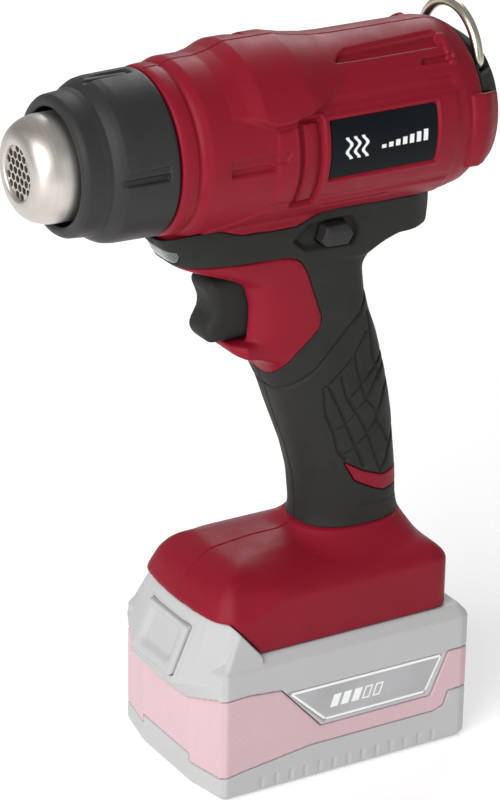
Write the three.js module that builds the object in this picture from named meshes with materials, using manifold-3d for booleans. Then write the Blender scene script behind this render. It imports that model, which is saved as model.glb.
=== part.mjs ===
// Cordless heat gun with a battery pack, as a three.js scene graph. Millimetres, +Z up.
// The origin is the middle of the battery pack's underside, the outlet points to -X,
// and the left side faces -Y. The clamshell housing is the main moulding: two hollow halves
// with a barrel, a neck, a grip and a foot, dressed with a soft overmould.
import * as THREE from "three";
import { mergeVertices } from "three/addons/utils/BufferGeometryUtils.js";
import Module from "manifold-3d";

const wasm = await Module();
wasm.setup();

// ---------------------------------------------------------------- driving dimensions
const AXIS_Z = 254; // height of the barrel's axis
const GAP = 0.3; // clearance between pieces that only rest on each other
const PARTING = 0.15; // half of the gap between the two housing halves
const BARREL_R = 33; // barrel outside radius
const BARREL_WALL = 3;
const BARREL_FRONT = -71; // front edge of the red barrel
const BARREL_REAR = 57; // rear edge of the red barrel
const GRIP_WALL = 4.2; // grip wall including the overmould
const SKIN = 2; // overmould thickness
const FOOT_HALF_W = 34;
const FOOT_BASE_Z = 58;
const PACK_TOP_Z = 57.6;
const PACK_WALL = 2.5;
const PACK_HALF_W = 38;
const PACK_FRONT = -59.5;
const PACK_REAR = 56.5;
const CELL_R = 9; // 18 mm round cells
const CELL_LEN = 65;
const CELL_PITCH = 18.8;
const ROUND = 32; // facets round the barrel

// ---------------------------------------------------------------- colours and finishes
const finishes = {
  red: { color: 0x8f2433, roughness: 0.5, metalness: 0 },
  softBlack: { color: 0x343433, roughness: 0.75, metalness: 0 },
  guardBlack: { color: 0x3a3c3b, roughness: 0.6, metalness: 0 },
  steel: { color: 0xc9c4be, roughness: 0.3, metalness: 1 },
  wire: { color: 0xbdb8a6, roughness: 0.25, metalness: 1 },
  mica: { color: 0xb9a684, roughness: 0.8, metalness: 0 },
  copper: { color: 0xb87333, roughness: 0.35, metalness: 1 },
  board: { color: 0x2c6b3f, roughness: 0.6, metalness: 0 },
  lens: { color: 0xdfe4e6, roughness: 0.1, metalness: 0 },
  innerBlack: { color: 0x232424, roughness: 0.5, metalness: 0 },
  label: { color: 0x16202a, roughness: 0.4, metalness: 0 },
  packGrey: { color: 0xb7b7b7, roughness: 0.6, metalness: 0 },
  packPink: { color: 0xdfb6bf, roughness: 0.6, metalness: 0 },
  cellBlue: { color: 0x3d6fa3, roughness: 0.4, metalness: 0 },
};

// ---------------------------------------------------------------- solids and booleans
const heatGun = new THREE.Group();

/** Turns a closed three.js geometry into a manifold solid that faces out. */
function solid(geometry) {
  const bare = geometry.clone();
  bare.deleteAttribute("normal");
  bare.deleteAttribute("uv");
  const merged = mergeVertices(bare, 1e-4);
  const corners = new Uint32Array(merged.index.array);
  const build = () =>
    new wasm.Manifold(
      new wasm.Mesh({
        numProp: 3,
        vertProperties: new Float32Array(merged.attributes.position.array),
        triVerts: corners,
      }),
    );
  const made = build();
  if (made.volume() > 0) return made;
  for (let i = 0; i < corners.length; i += 3) {
    [corners[i + 1], corners[i + 2]] = [corners[i + 2], corners[i + 1]];
  }
  return build();
}

/** Turns a manifold solid back into a three.js geometry with flat facets. */
function geometryOf(made) {
  const { numProp, vertProperties, triVerts } = made.getMesh();
  const points = new Float32Array((vertProperties.length / numProp) * 3);
  for (let i = 0; i < points.length / 3; i++) {
    for (let k = 0; k < 3; k++) points[3 * i + k] = vertProperties[numProp * i + k];
  }
  const geometry = new THREE.BufferGeometry();
  geometry.setAttribute("position", new THREE.BufferAttribute(points, 3));
  geometry.setIndex(new THREE.BufferAttribute(new Uint32Array(triVerts), 1));
  const flat = geometry.toNonIndexed();
  flat.computeVertexNormals();
  return flat;
}

/** Adds a named sub-part to the object. */
function part(name, made, finish) {
  const material = new THREE.MeshStandardMaterial(finishes[finish]);
  const mesh = new THREE.Mesh(geometryOf(made), material);
  mesh.name = name;
  heatGun.add(mesh);
}

const join = (...solids) => solids.reduce((all, next) => all.add(next));
const cut = (body, ...tools) => tools.reduce((left, tool) => left.subtract(tool), body);

function box(x0, x1, y0, y1, z0, z1) {
  const geometry = new THREE.BoxGeometry(x1 - x0, y1 - y0, z1 - z0);
  geometry.translate((x0 + x1) / 2, (y0 + y1) / 2, (z0 + z1) / 2);
  return solid(geometry);
}

/** A round solid about the barrel's axis, from [x, radius] points. */
function turned(profile, facets = ROUND) {
  const points = profile.map(([x, radius]) => new THREE.Vector2(radius, x));
  const closed = profile[0][1] === 0 ? points : [...points, points[0]];
  const geometry = new THREE.LatheGeometry(closed, facets);
  geometry.rotateZ(-Math.PI / 2);
  geometry.translate(0, 0, AXIS_Z);
  return solid(geometry);
}

/** A round solid about a line along Y through (x, z), from [y, radius] points. */
function turnedAlongY(x, z, profile, facets = 16) {
  const points = profile.map(([y, radius]) => new THREE.Vector2(radius, y));
  const geometry = new THREE.LatheGeometry(points, facets);
  geometry.translate(x, 0, z);
  return solid(geometry);
}

/** A rod along Y. */
function rodY(x, z, radius, y0, y1, facets = 16) {
  return turnedAlongY(x, z, [[y0, 0], [y0, radius], [y1, radius], [y1, 0]], facets);
}

/** A side outline of [x, z] points, extruded across the tool from y0 to y1. */
function sideSlab(outline, y0, y1) {
  const shape = new THREE.Shape(outline.map(([x, z]) => new THREE.Vector2(x, z)));
  const geometry = new THREE.ExtrudeGeometry(shape, { depth: y1 - y0, bevelEnabled: false });
  geometry.rotateX(Math.PI / 2);
  geometry.translate(0, y1, 0);
  return solid(geometry);
}

/** Moves every side of a closed outline outwards by a distance. */
function grown(outline, distance) {
  const area = THREE.ShapeUtils.area(outline.map(([x, z]) => new THREE.Vector2(x, z)));
  const side = Math.sign(area) * distance;
  const count = outline.length;
  return outline.map((corner, i) => {
    const here = new THREE.Vector2(...corner);
    const back = new THREE.Vector2(...outline[(i + count - 1) % count]);
    const next = new THREE.Vector2(...outline[(i + 1) % count]);
    const dirIn = here.clone().sub(back).normalize();
    const dirOut = next.sub(here).normalize();
    const normalIn = new THREE.Vector2(dirIn.y, -dirIn.x);
    const normalOut = new THREE.Vector2(dirOut.y, -dirOut.x);
    const miter = normalIn.add(normalOut).normalize();
    const reach = side / Math.max(0.4, miter.dot(normalOut));
    return [here.x + miter.x * reach, here.y + miter.y * reach];
  });
}

/** Joins rings of equal point count, bottom to top, into one closed skin. */
function loft(rings) {
  const count = rings[0].length;
  const points = rings.flat();
  const faces = [];
  for (let r = 0; r + 1 < rings.length; r++) {
    for (let i = 0; i < count; i++) {
      const a = r * count + i;
      const b = r * count + ((i + 1) % count);
      faces.push(a, b, b + count, a, b + count, a + count);
    }
  }
  for (const [ring, turn] of [[0, -1], [rings.length - 1, 1]]) {
    const middle = rings[ring].reduce((sum, p) => sum.add(p), new THREE.Vector3());
    points.push(middle.divideScalar(count));
    for (let i = 0; i < count; i++) {
      const a = ring * count + i;
      const b = ring * count + ((i + 1) % count);
      faces.push(points.length - 1, ...(turn > 0 ? [a, b] : [b, a]));
    }
  }
  const geometry = new THREE.BufferGeometry().setFromPoints(points);
  geometry.setIndex(faces);
  return solid(geometry);
}

/** A level ring between the x of its front and rear and a half width, squarer with power. */
function ovalRing(z, front, rear, halfWidth, power, count) {
  const middle = (front + rear) / 2;
  const bend = (value) => Math.sign(value) * Math.abs(value) ** (2 / power);
  return Array.from({ length: count }, (_, i) => {
    const angle = (2 * Math.PI * i) / count;
    const x = middle + ((rear - front) / 2) * bend(Math.cos(angle));
    return new THREE.Vector3(x, halfWidth * bend(Math.sin(angle)), z);
  });
}

const leftOf = (made) => made.subtract(box(-200, 200, -PARTING, 100, -10, 400));
const rightOf = (made) => made.subtract(box(-200, 200, -100, PARTING, -10, 400));
const mirrored = (made) => made.mirror([0, 1, 0]);

// ---------------------------------------------------------------- housing forms
/** Neck and grip, [z, front x, rear x, half width, squareness], with the walls moved in. */
function neckAndGrip(inset, points = 20, every = 1) {
  const stations = [
    [86, -7, 43.4, 22, 2.6],
    [90, -4.6, 41.6, 19.6, 2.5],
    [93, -3.3, 40.2, 17.6, 2.4],
    [98, -3, 39.5, 17, 2.3],
    [112, -4.4, 38.6, 17.4, 2.3],
    [124, -7.6, 37.2, 17.8, 2.3],
    [134, -11.4, 36, 18, 2.4],
    [143, -14.8, 34.3, 18, 2.5],
    [152, -17.7, 32, 18, 2.7],
    [161, -21.9, 29.4, 18, 2.9],
    [165.5, -24.8, 28, 18, 3],
    [170.5, -33.2, 26.4, 18, 3.3],
    [180, -32, 22.4, 17.9, 3.5],
    [190, -31.4, 19.8, 17.8, 3.5],
    [199, -34, 18.9, 17.6, 3.5],
    [203, -44, 22.4, 17.5, 3.5],
    [207, -56, 27.6, 17.4, 3.5],
    [210.5, -62.5, 35, 17.3, 3.6],
    [214, -64.6, 42.5, 17.2, 3.6],
    [218, -66.3, 45.8, 17, 3.8],
    [223, -68.6, 46.5, 16.4, 4],
    [232, -68.6, 44, 14, 4],
  ];
  const last = stations.length - 1;
  const used = stations.filter((_, i) => i % every === 0 || i === last);
  const rings = used.map(([z, front, rear, halfWidth, power]) =>
    ovalRing(z, front + inset, rear - inset, halfWidth - inset, power, points),
  );
  return loft(rings);
}

/** Foot over the battery rails: upright walls under a domed bonnet. */
function footBody(inset, bottom) {
  const stations = [
    // z, front x, rear x, half width, how round the front corners are
    [bottom, -56.4, 49, FOOT_HALF_W, 0],
    [71.6, -56, 49, FOOT_HALF_W, 0],
    [76, -54.6, 49, FOOT_HALF_W, 0.4],
    [79.5, -52.6, 49, FOOT_HALF_W - 0.3, 0.8],
    [82, -50.4, 48, FOOT_HALF_W - 3, 1.4],
    [84.6, -47.5, 46.6, FOOT_HALF_W - 8, 2],
    [87, -44, 45.4, FOOT_HALF_W - 14, 2.6],
    [89, -39.5, 44.4, FOOT_HALF_W - 21, 3],
  ];
  const rings = stations.map(([z, front, rear, halfWidth, soft]) => {
    const side = [
      [front, 0],
      [front + 0.9 + soft, halfWidth * 0.46],
      [front + 2.8 + 1.6 * soft, halfWidth * 0.79],
      [front + 8.4 + 2 * soft, halfWidth * 0.97],
      [front + 18 + 2 * soft, halfWidth],
      [rear - 20, halfWidth],
      [rear - 4, halfWidth],
      [rear - 0.8, halfWidth - 3.5],
      [rear, 0],
    ];
    const near = side.slice(1, -1).reverse();
    const whole = [...side, ...near.map(([x, y]) => [x, -y])];
    const middle = (front + rear) / 2;
    const shrinkX = 1 - (2 * inset) / (rear - front);
    const shrinkY = 1 - inset / halfWidth;
    const height = Math.max(bottom, z - inset * 0.8);
    return whole.map(
      ([x, y]) => new THREE.Vector3(middle + (x - middle) * shrinkX, y * shrinkY, height),
    );
  });
  return loft(rings);
}

/** Barrel of the housing with its grown ring steps and raised saddle. */
function barrelBody() {
  const barrel = turned([
    [BARREL_FRONT, 0],
    [BARREL_FRONT, 30.8],
    [-69, 31.3],
    [-65, 31.5],
    [-64.4, 30.9],
    [-63.4, 30.9],
    [-62.8, 31.8],
    [-59.5, BARREL_R],
    [48, BARREL_R],
    [54, 31.8],
    [BARREL_REAR, 30.3],
    [BARREL_REAR, 0],
  ]);
  const saddle = turned([
    [-50, 0],
    [-50, BARREL_R],
    [-44, BARREL_R],
    [-38, 36.5],
    [-18, 36.5],
    [-9, 34],
    [0, BARREL_R],
    [6, BARREL_R - 0.1],
    [6, 0],
  ]);
  const aboveCrease = sideSlab(
    [[-60, AXIS_Z + 18], [-45, AXIS_Z + 18], [-34, AXIS_Z + 12], [-24, AXIS_Z + 12], [-6, AXIS_Z + 18],
      [20, AXIS_Z + 22], [20, AXIS_Z + 60], [-60, AXIS_Z + 60]],
    -60,
    60,
  );
  return join(barrel, saddle.intersect(aboveCrease));
}

/** Pads of the housing that wrap over the rear cap's sides, and fins at the louvres' ends. */
const PAD_REAR = 64.6;
const PAD_INNER = 24.6;
const rearPad = (grow) =>
  barrelPatch(50 - grow, PAD_REAR + grow, -28 - grow, 18 + grow, PAD_INNER - grow, 36);
function sideTrim() {
  const padForm = turned([[50, 0], [50, 33.6], [56, 34], [58.5, 33], [PAD_REAR, 28.6], [PAD_REAR, 0]]);
  const fin = barrelPatch(46.4, 49.4, 42, 68, BARREL_R - 1.5, BARREL_R + 1);
  return bothSides(join(rearPad(0).intersect(padForm), fin));
}

/** A band of the barrel's skin, from angles in degrees above the -Y side. */
function barrelPatch(x0, x1, fromDeg, toDeg, innerR, outerR) {
  const steps = Math.max(2, Math.ceil(Math.abs(toDeg - fromDeg) / 10));
  const angles = Array.from({ length: steps + 1 }, (_, i) => fromDeg + ((toDeg - fromDeg) * i) / steps);
  const at = (radius, degrees) => {
    const angle = (degrees * Math.PI) / 180;
    return new THREE.Vector2(-radius * Math.cos(angle), AXIS_Z + radius * Math.sin(angle));
  };
  const outline = [
    ...angles.map((degrees) => at(outerR, degrees)),
    ...angles.reverse().map((degrees) => at(innerR, degrees)),
  ];
  const geometry = new THREE.ExtrudeGeometry(new THREE.Shape(outline), {
    depth: x1 - x0,
    bevelEnabled: false,
  });
  // The outline is drawn in (Y, Z) and pushed along X.
  const turn = new THREE.Matrix4().set(0, 0, 1, x0, 1, 0, 0, 0, 0, 1, 0, 0, 0, 0, 0, 1);
  geometry.applyMatrix4(turn);
  return solid(geometry);
}
const bothSides = (made) => join(made, mirrored(made));

/** Recesses in the barrel's sides: vent slot, louvres, stepped strips and label pocket. */
function barrelRecesses() {
  const outer = 40;
  const vent = cut(
    barrelPatch(-21.5, -12, -39, 23, BARREL_R - 1.8, outer),
    barrelPatch(-20, -15.5, -36, 20, 20, BARREL_R - 0.5),
  );
  return bothSides(
    join(
      vent,
      barrelPatch(-8.5, 34, -20, 20, BARREL_R - 0.9, outer),
      barrelPatch(-50, -27, -1, 5, BARREL_R - 0.9, outer),
      barrelPatch(-50, -31, -6, -1, BARREL_R - 1.7, outer),
      barrelPatch(1, 46, 52, 58, BARREL_R - 2, outer),
      barrelPatch(33, 46, 45.5, 49, BARREL_R - 1.4, outer),
      barrelPatch(-8, 20, -45.5, -43.5, BARREL_R - 1.2, outer),
    ),
  );
}

/** Rubber region seen from the side, with the red trigger window left out. */
const overmouldOutline = [
  [-90, 224.4],
  [-66, 224.4],
  [-48, 224.2],
  [-38.5, 221],
  [-15, 220.4],
  [-4.5, 224.2],
  [5, 224.9],
  [60, 223.4],
  [60, 93],
  [-30, 93],
  [-60, 158.8],
  [-21, 159],
  [-18.8, 164],
  [-15, 169.6],
  [-4.6, 178.4],
  [-3.6, 182],
  [-10, 201.6],
  [-13.6, 207],
  [-18, 209],
  [-60, 210.4],
  [-90, 210.4],
];
const accentOutline = [
  [10, 118],
  [20, 110.5],
  [60, 108.5],
  [60, 101.5],
  [25, 103.6],
  [14.5, 109.5],
];
const lockOutline = [
  [-5.5, 213.4],
  [-3.4, 211.4],
  [5.6, 211.2],
  [8, 215],
  [5.6, 219.4],
  [-3.4, 219.2],
];
const triggerWindow = [
  [-70, 175.2],
  [-18, 175.2],
  [-18, 202.2],
  [-70, 202.2],
];
const lensOutline = [
  [-90, 211.6],
  [-61.2, 211.4],
  [-60.6, 216.8],
  [-90, 218],
];

// ---------------------------------------------------------------- fasteners
const SCREW_HEAD_R = 3.1;
const SCREW_R = 1.5;
/** Housing screws, [x, z, y of the head's outer face]. */
const housingScrews = [
  [-43, 79.5, 14],
  [40, 72, 29],
  [-4, 150, 13],
  [36, 218, 13],
  [-51, 214.5, 13],
  [-28, AXIS_Z + 32.5, 11],
];
const screwSolid = (x, z, top) =>
  turnedAlongY(x, z, [[-7, 0], [-7, SCREW_R], [top - 2.4, SCREW_R], [top - 2.2, SCREW_HEAD_R],
    [top, SCREW_HEAD_R], [top, 0]], 8);
const screwHole = (x, z, top) =>
  turnedAlongY(x, z, [[-8, 0], [-8, SCREW_R + 0.2], [top - 2.6, SCREW_R + 0.2],
    [top - 2.6, SCREW_HEAD_R + 0.4], [60, SCREW_HEAD_R + 0.4], [60, 0]], 8);

// ---------------------------------------------------------------- clamshell housing
const neckOuter = neckAndGrip(0);
const underSkin = neckAndGrip(SKIN, 16, 2);
const underSkinClear = neckAndGrip(SKIN + GAP, 16, 2);
const barrelOuter = barrelBody();
const footOuter = footBody(0, FOOT_BASE_Z);
const rubberSlab = (grow) => sideSlab(grown(overmouldOutline, grow), -60, 60);
const lensSlab = (grow) => sideSlab(grown(lensOutline, grow), -10.6 - grow, 10.6 + grow);
const accentSlab = (grow) => sideSlab(grown(accentOutline, grow), -60, 60);

/** The front of the foot is cut back to clear the pack's raised nose. */
const footNoseCut = sideSlab([[-90, 40], [-90, 71.6], [-48.5, 71.6], [-37, FOOT_BASE_Z], [-37, 40]], -60, 60);
const railPair = bothSides(box(-34, 46, 15, 32, FOOT_BASE_Z, 60.6));

function housingCavity() {
  const inner = BARREL_R - BARREL_WALL;
  const barrelInside = turned([
    [-67.5, 0], [-67.5, 28], [-60, inner], [BARREL_REAR + 1, inner], [BARREL_REAR + 1, 0]], 24);
  const mouth = turned([[-90, 0], [-90, 22], [-60, 22], [-60, 0]], 24);
  return join(barrelInside, mouth, neckAndGrip(GRIP_WALL, 16, 2), footBody(3, FOOT_BASE_Z - 1));
}

function clamshell() {
  const underRubber = cut(rubberSlab(GAP), underSkinClear);
  const spigot = turned([[-79, 25.2], [-79, 27.6], [-70, 27.6], [-70, 25.2]], 24);
  const shell = cut(join(barrelOuter, cut(neckOuter, underRubber), footOuter), housingCavity());
  const bosses = housingScrews.map(([x, z]) => rodY(x, z, 4.6, -30, 30, 8));
  const innerForm = join(barrelOuter, underSkinClear, footOuter);
  const dressed = join(shell, join(...bosses).intersect(innerForm), spigot, railPair.intersect(footOuter));
  return cut(
    join(cut(dressed, barrelRecesses()), sideTrim()),
    footNoseCut,
    lensSlab(GAP),
    sideSlab(triggerWindow, -8.9, 8.9),
    sideSlab(grown(lockOutline, 0.4), -60, 60),
    box(-60, -56.4, -6.6, 6.6, 213.4, 221.6),
    ...housingScrews.map(([x, z, top]) => screwHole(x, z, top)),
  );
}

function buildHousing() {
  const shell = clamshell();
  part("left_housing", leftOf(shell), "red");
  part("right_housing", rightOf(shell), "red");

  const skin = cut(neckOuter, underSkin).intersect(rubberSlab(0));
  const barrelClear = turned([[-90, 0], [-90, BARREL_R + GAP], [70, BARREL_R + GAP], [70, 0]]);
  const rubber = cut(
    skin,
    barrelClear,
    lensSlab(GAP),
    accentSlab(GAP),
    sideSlab(triggerWindow, -8.9, 8.9),
    sideSlab(grown(lockOutline, 0.4), -60, 60),
    ...housingScrews.map(([x, z, top]) => screwHole(x, z, top)),
  );
  part("left_overmould", leftOf(rubber), "softBlack");
  part("right_overmould", rightOf(rubber), "softBlack");

  const accent = cut(neckOuter, underSkin).intersect(accentSlab(0));
  part("left_grip_accent", cut(leftOf(accent), box(-50, 60, -3, 20, 90, 130)), "red");
  part("right_grip_accent", cut(rightOf(accent), box(-50, 60, -20, 3, 90, 130)), "red");

  const plate = barrelPatch(-8.2, 33.7, -19.5, 19.5, BARREL_R - 0.6, BARREL_R);
  part("left_label_plate", plate, "label");
  part("right_label_plate", mirrored(plate), "label");
  housingScrews.forEach(([x, z, top], i) => part(`housing_screw_${i + 1}`, screwSolid(x, z, top), "innerBlack"));
}

// ---------------------------------------------------------------- heat end
/** Guard collar that slides over the housing's spigot, with stepped finger slots. */
function buildHeatGuard() {
  const collar = turned([
    [-107, 21.7], [-107.6, 23.2], [-107, 25], [-105.4, 26], [-99.5, 26.5], [-97, 27],
    [-94.5, 28.8], [-92.3, 29.9], [-89, 30.4], [-73, 30.8], [-71.9, 30.4], [-71.9, 28.2],
    [-88, 27.9], [-96, 24.2], [-104, 23.2], [-106, 21.7],
  ]);
  const slots = [];
  for (let i = 0; i < 4; i++) {
    const middle = 3.5 + 90 * i;
    slots.push(barrelPatch(-95.5, -75.8, middle - 0.5, middle + 5, 29.6, 40));
    slots.push(barrelPatch(-94.5, -75.8, middle - 5, middle - 0.5, 28.9, 40));
  }
  part("heat_guard", cut(collar, ...slots), "guardBlack");
}

/** Formed stainless outlet and its hexagonal guard grille. */
function buildOutlet() {
  const outlet = turned([
    [-92, 19.9], [-110, 19.9], [-113.5, 19.6], [-117, 18.4], [-119.6, 16.4], [-121, 13.8],
    [-121.4, 12.2], [-120.8, 11], [-119.4, 10.5], [-116.5, 10.5], [-116.5, 11.2], [-118.6, 11.4],
    [-119.4, 13.2], [-116.4, 16.8], [-112.6, 18.8], [-92, 19.1],
  ], 28);
  part("outlet_nozzle", outlet, "steel");

  const disc = new THREE.Shape().absarc(0, 0, 10.2, 0, 2 * Math.PI, false);
  const pitch = 3.3;
  const hole = 1.35;
  for (let row = -3; row <= 3; row++) {
    for (let column = -3; column <= 3; column++) {
      const y = pitch * (column + row / 2);
      const z = pitch * row * Math.sin(Math.PI / 3);
      if (Math.hypot(y, z) + hole > 9.6) continue;
      const hexagon = new THREE.Path();
      for (let i = 0; i < 6; i++) {
        const angle = (Math.PI / 3) * i + Math.PI / 6;
        const corner = [y + hole * Math.cos(angle), z + hole * Math.sin(angle)];
        if (i === 0) hexagon.moveTo(...corner);
        else hexagon.lineTo(...corner);
      }
      hexagon.closePath();
      disc.holes.push(hexagon);
    }
  }
  const plate = new THREE.ExtrudeGeometry(disc, { depth: 1, bevelEnabled: false, curveSegments: 16 });
  plate.applyMatrix4(new THREE.Matrix4().set(0, 0, 1, -118.4, 1, 0, 0, 0, 0, 1, 0, AXIS_Z, 0, 0, 0, 1));
  part("outlet_grille", solid(plate), "steel");
}

/** Heating element: mica cross, wound wire, mica-lined sleeve and a thermal cut-out. */
function buildHeater() {
  part("heater_sleeve", turned([[-111, 16.6], [-111, 17.4], [-40, 17.4], [-40, 16.6]], 24), "mica");
  const former = join(
    box(-106, -42, -13.4, 13.4, AXIS_Z - 0.5, AXIS_Z + 0.5),
    box(-106, -42, -0.5, 0.5, AXIS_Z - 13.4, AXIS_Z + 13.4),
  );
  part("heater_former", former, "mica");
  const turns = 6;
  class Winding extends THREE.Curve {
    getPoint(t) {
      const angle = 2 * Math.PI * turns * t;
      return new THREE.Vector3(-104 + 46 * t, 15 * Math.cos(angle), AXIS_Z + 15 * Math.sin(angle));
    }
  }
  const wire = new THREE.Shape().absarc(0, 0, 0.6, 0, 2 * Math.PI, false);
  const coil = new THREE.ExtrudeGeometry(wire, {
    steps: turns * 11,
    extrudePath: new Winding(),
    curveSegments: 2,
  });
  part("heater_coil", solid(coil), "copper");
  part("thermal_cutout", box(-58, -50, 2, 8, AXIS_Z + 2, AXIS_Z + 6.5), "steel");
  const guide = [
    [-54, 18], [-54, 19.2], [-31, 19.2], [-7, 29.4], [-2, 29.4], [-2, 28.3], [-7, 28.3], [-31, 18]];
  part("air_guide", turned(guide, 24), "innerBlack");
}

// ---------------------------------------------------------------- fan and motor
const SHAFT_R = 1.5;
function buildFan() {
  const hub = turned([[0, 0], [0, 6], [3, 9], [10, 24], [11.4, 26], [12.6, 26], [12.6, 0]], 24);
  const blades = [];
  const count = 9;
  for (let i = 0; i < count; i++) {
    const outline = new THREE.Shape();
    outline.moveTo(7, -0.6);
    outline.quadraticCurveTo(17, -1.6, 25.6, -8);
    outline.lineTo(26, -7);
    outline.quadraticCurveTo(17, -0.2, 7, 0.7);
    outline.closePath();
    const blade = new THREE.ExtrudeGeometry(outline, { depth: 11, bevelEnabled: false, curveSegments: 3 });
    blade.rotateZ((2 * Math.PI * i) / count);
    blade.applyMatrix4(new THREE.Matrix4().set(0, 0, 1, 1, 1, 0, 0, 0, 0, 1, 0, AXIS_Z, 0, 0, 0, 1));
    blades.push(solid(blade));
  }
  const inShroud = turned([[0.6, 0], [0.6, 17], [6, 24], [12, 26.6], [12, 0]], 20);
  const wheel = join(hub, join(...blades).intersect(inShroud));
  part("impeller", cut(wheel, turned([[-5, 0], [-5, SHAFT_R + 0.06], [20, SHAFT_R + 0.06], [20, 0]], 16)), "innerBlack");
  part("motor_shaft", turned([[-1.2, 0], [-1.2, SHAFT_R], [22.6, SHAFT_R], [22.6, 0]], 16), "steel");

  const can = turned([[19, 0], [19, 5], [20.5, 5], [20.5, 13.4], [48, 13.4], [50, 12], [50, 0]], 24);
  part("motor", cut(can, turned([[10, 0], [10, SHAFT_R + 0.08], [23.4, SHAFT_R + 0.08], [23.4, 0]], 16)), "steel");
  const ring = new THREE.Shape().absarc(0, 0, 29.6, 0, 2 * Math.PI, false);
  ring.holes.push(new THREE.Path().absarc(0, 0, 13.8, 0, 2 * Math.PI, true));
  const windows = 3;
  for (let i = 0; i < windows; i++) {
    const from = (2 * Math.PI * i) / windows + 0.15;
    const to = (2 * Math.PI * (i + 1)) / windows - 0.15;
    const window = new THREE.Path().absarc(0, 0, 26.6, from, to, false);
    window.absarc(0, 0, 16.6, to, from, true);
    window.closePath();
    ring.holes.push(window);
  }
  const mount = new THREE.ExtrudeGeometry(ring, { depth: 4, bevelEnabled: false, curveSegments: 8 });
  mount.applyMatrix4(new THREE.Matrix4().set(0, 0, 1, 24, 1, 0, 0, 0, 0, 1, 0, AXIS_Z, 0, 0, 0, 1));
  part("motor_mount", solid(mount), "innerBlack");
}

// ---------------------------------------------------------------- rear cap and hanging ring
const RING_X = 60.5;
const RING_Z = 271.5;
const RING_R = 19.5;
const WIRE_R = 2;
function buildRear() {
  const outer = [[BARREL_REAR + GAP, 30.1], [60, 28.2], [64, 25.6], [68, 22.6], [70, 19.6], [71, 14], [71.3, 0]];
  const inner = [[68.4, 0], [67.6, 15], [64.4, 21.8], [BARREL_REAR + GAP, 27]];
  const outerSolid = turned([[BARREL_REAR + GAP, 0], ...outer]);
  const innerSolid = turned([...inner, [BARREL_REAR + GAP - 1, 27], [BARREL_REAR + GAP - 1, 0]], 18);
  const pivotBlock = box(BARREL_REAR + GAP, 64.5, -15, 15, RING_Z - 4, RING_Z + 6).intersect(outerSolid);
  const shell = join(cut(outerSolid, innerSolid), pivotBlock);
  const slots = [];
  for (let i = -2; i <= 2; i++) {
    const reach = 15 - 2 * Math.abs(i);
    slots.push(box(60, 80, 6 * i - 1.4, 6 * i + 1.4, AXIS_Z - 4 - reach, AXIS_Z - 4 + reach));
  }
  const legSlots = bothSides(box(50, 90, 15, RING_R + WIRE_R + 0.4, RING_Z - WIRE_R - 0.5, 300));
  const pinHole = rodY(RING_X, RING_Z, WIRE_R + 0.2, 9, 16);
  const padNotch = bothSides(rearPad(GAP));
  part("rear_cap", cut(shell, ...slots, legSlots, padNotch, bothSides(pinHole)), "softBlack");

  class Hoop extends THREE.Curve {
    getPoint(t) {
      const angle = Math.PI * t;
      return new THREE.Vector3(RING_X, -RING_R * Math.cos(angle), RING_Z + RING_R * Math.sin(angle));
    }
  }
  const wire = new THREE.Shape().absarc(0, 0, WIRE_R, 0, 2 * Math.PI, false);
  const hoop = new THREE.ExtrudeGeometry(wire, { steps: 18, extrudePath: new Hoop(), curveSegments: 4 });
  const pin = rodY(RING_X, RING_Z, WIRE_R, 9.6, RING_R + 1, 12);
  part("hang_ring", join(solid(hoop), bothSides(pin)), "wire");
}

// ---------------------------------------------------------------- controls
/** Trigger with a concave finger face, its spring and switch, the lock bolt and the lamp. */
function buildControls() {
  const outline = new THREE.Shape();
  outline.moveTo(-24, 176);
  outline.lineTo(-24, 201.6);
  outline.lineTo(-44.8, 201.6);
  outline.quadraticCurveTo(-47.6, 200.4, -46.9, 197.8);
  outline.bezierCurveTo(-45.2, 193.4, -41.8, 189.6, -46.9, 183.4);
  outline.quadraticCurveTo(-49, 179.6, -44.9, 176);
  outline.closePath();
  const blade = new THREE.ExtrudeGeometry(outline, {
    depth: 13.2,
    bevelThickness: 1.6,
    bevelSize: 1.2,
    bevelOffset: -1.2,
    bevelSegments: 2,
    curveSegments: 8,
  });
  blade.rotateX(Math.PI / 2);
  blade.translate(0, 6.6, 0);
  part("trigger", solid(blade), "softBlack");

  const spring = turned([[-23.6, 2.6], [-23.6, 3.6], [-14.4, 3.6], [-14.4, 2.6]], 12);
  part("trigger_spring", spring.translate([0, 0, 188 - AXIS_Z]), "steel");
  part("switch_body", box(-14, 12, -9.5, 9.5, 177, 204), "innerBlack");
  part("lock_button", sideSlab(lockOutline, -20.4, 17.4), "guardBlack");
  part("led_lens", neckOuter.intersect(lensSlab(0)), "lens");
  part("led_board", box(-59.6, -57.2, -6, 6, 214, 221), "board");
  part("control_board", box(12, 14, -11, 11, 112, 166), "board");
}

// ---------------------------------------------------------------- battery pack
/** Mirrors one side's points to close a ring round the pack. */
function closedRing(side) {
  const near = side.slice(1, -1).reverse();
  return [...side, ...near.map(([x, y, z]) => [x, -y, z])].map((p) => new THREE.Vector3(...p));
}

/** Level outline of the pack: faceted front, flat sides and rounded rear corners. */
function packRing(z, inset) {
  const side = [
    [PACK_FRONT, 0],
    [PACK_FRONT, 18],
    [-56, 36.4],
    [-54, PACK_HALF_W],
    [0, PACK_HALF_W],
    [PACK_REAR - 5, PACK_HALF_W],
    [PACK_REAR - 1.4, PACK_HALF_W - 1.4],
    [PACK_REAR, PACK_HALF_W - 5],
    [PACK_REAR, 0],
  ];
  const middle = (PACK_FRONT + PACK_REAR) / 2;
  const shrinkX = 1 - (2 * inset) / (PACK_REAR - PACK_FRONT);
  const shrinkY = 1 - inset / PACK_HALF_W;
  return closedRing(side.map(([x, y]) => [middle + (x - middle) * shrinkX, y * shrinkY, z]));
}

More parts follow.
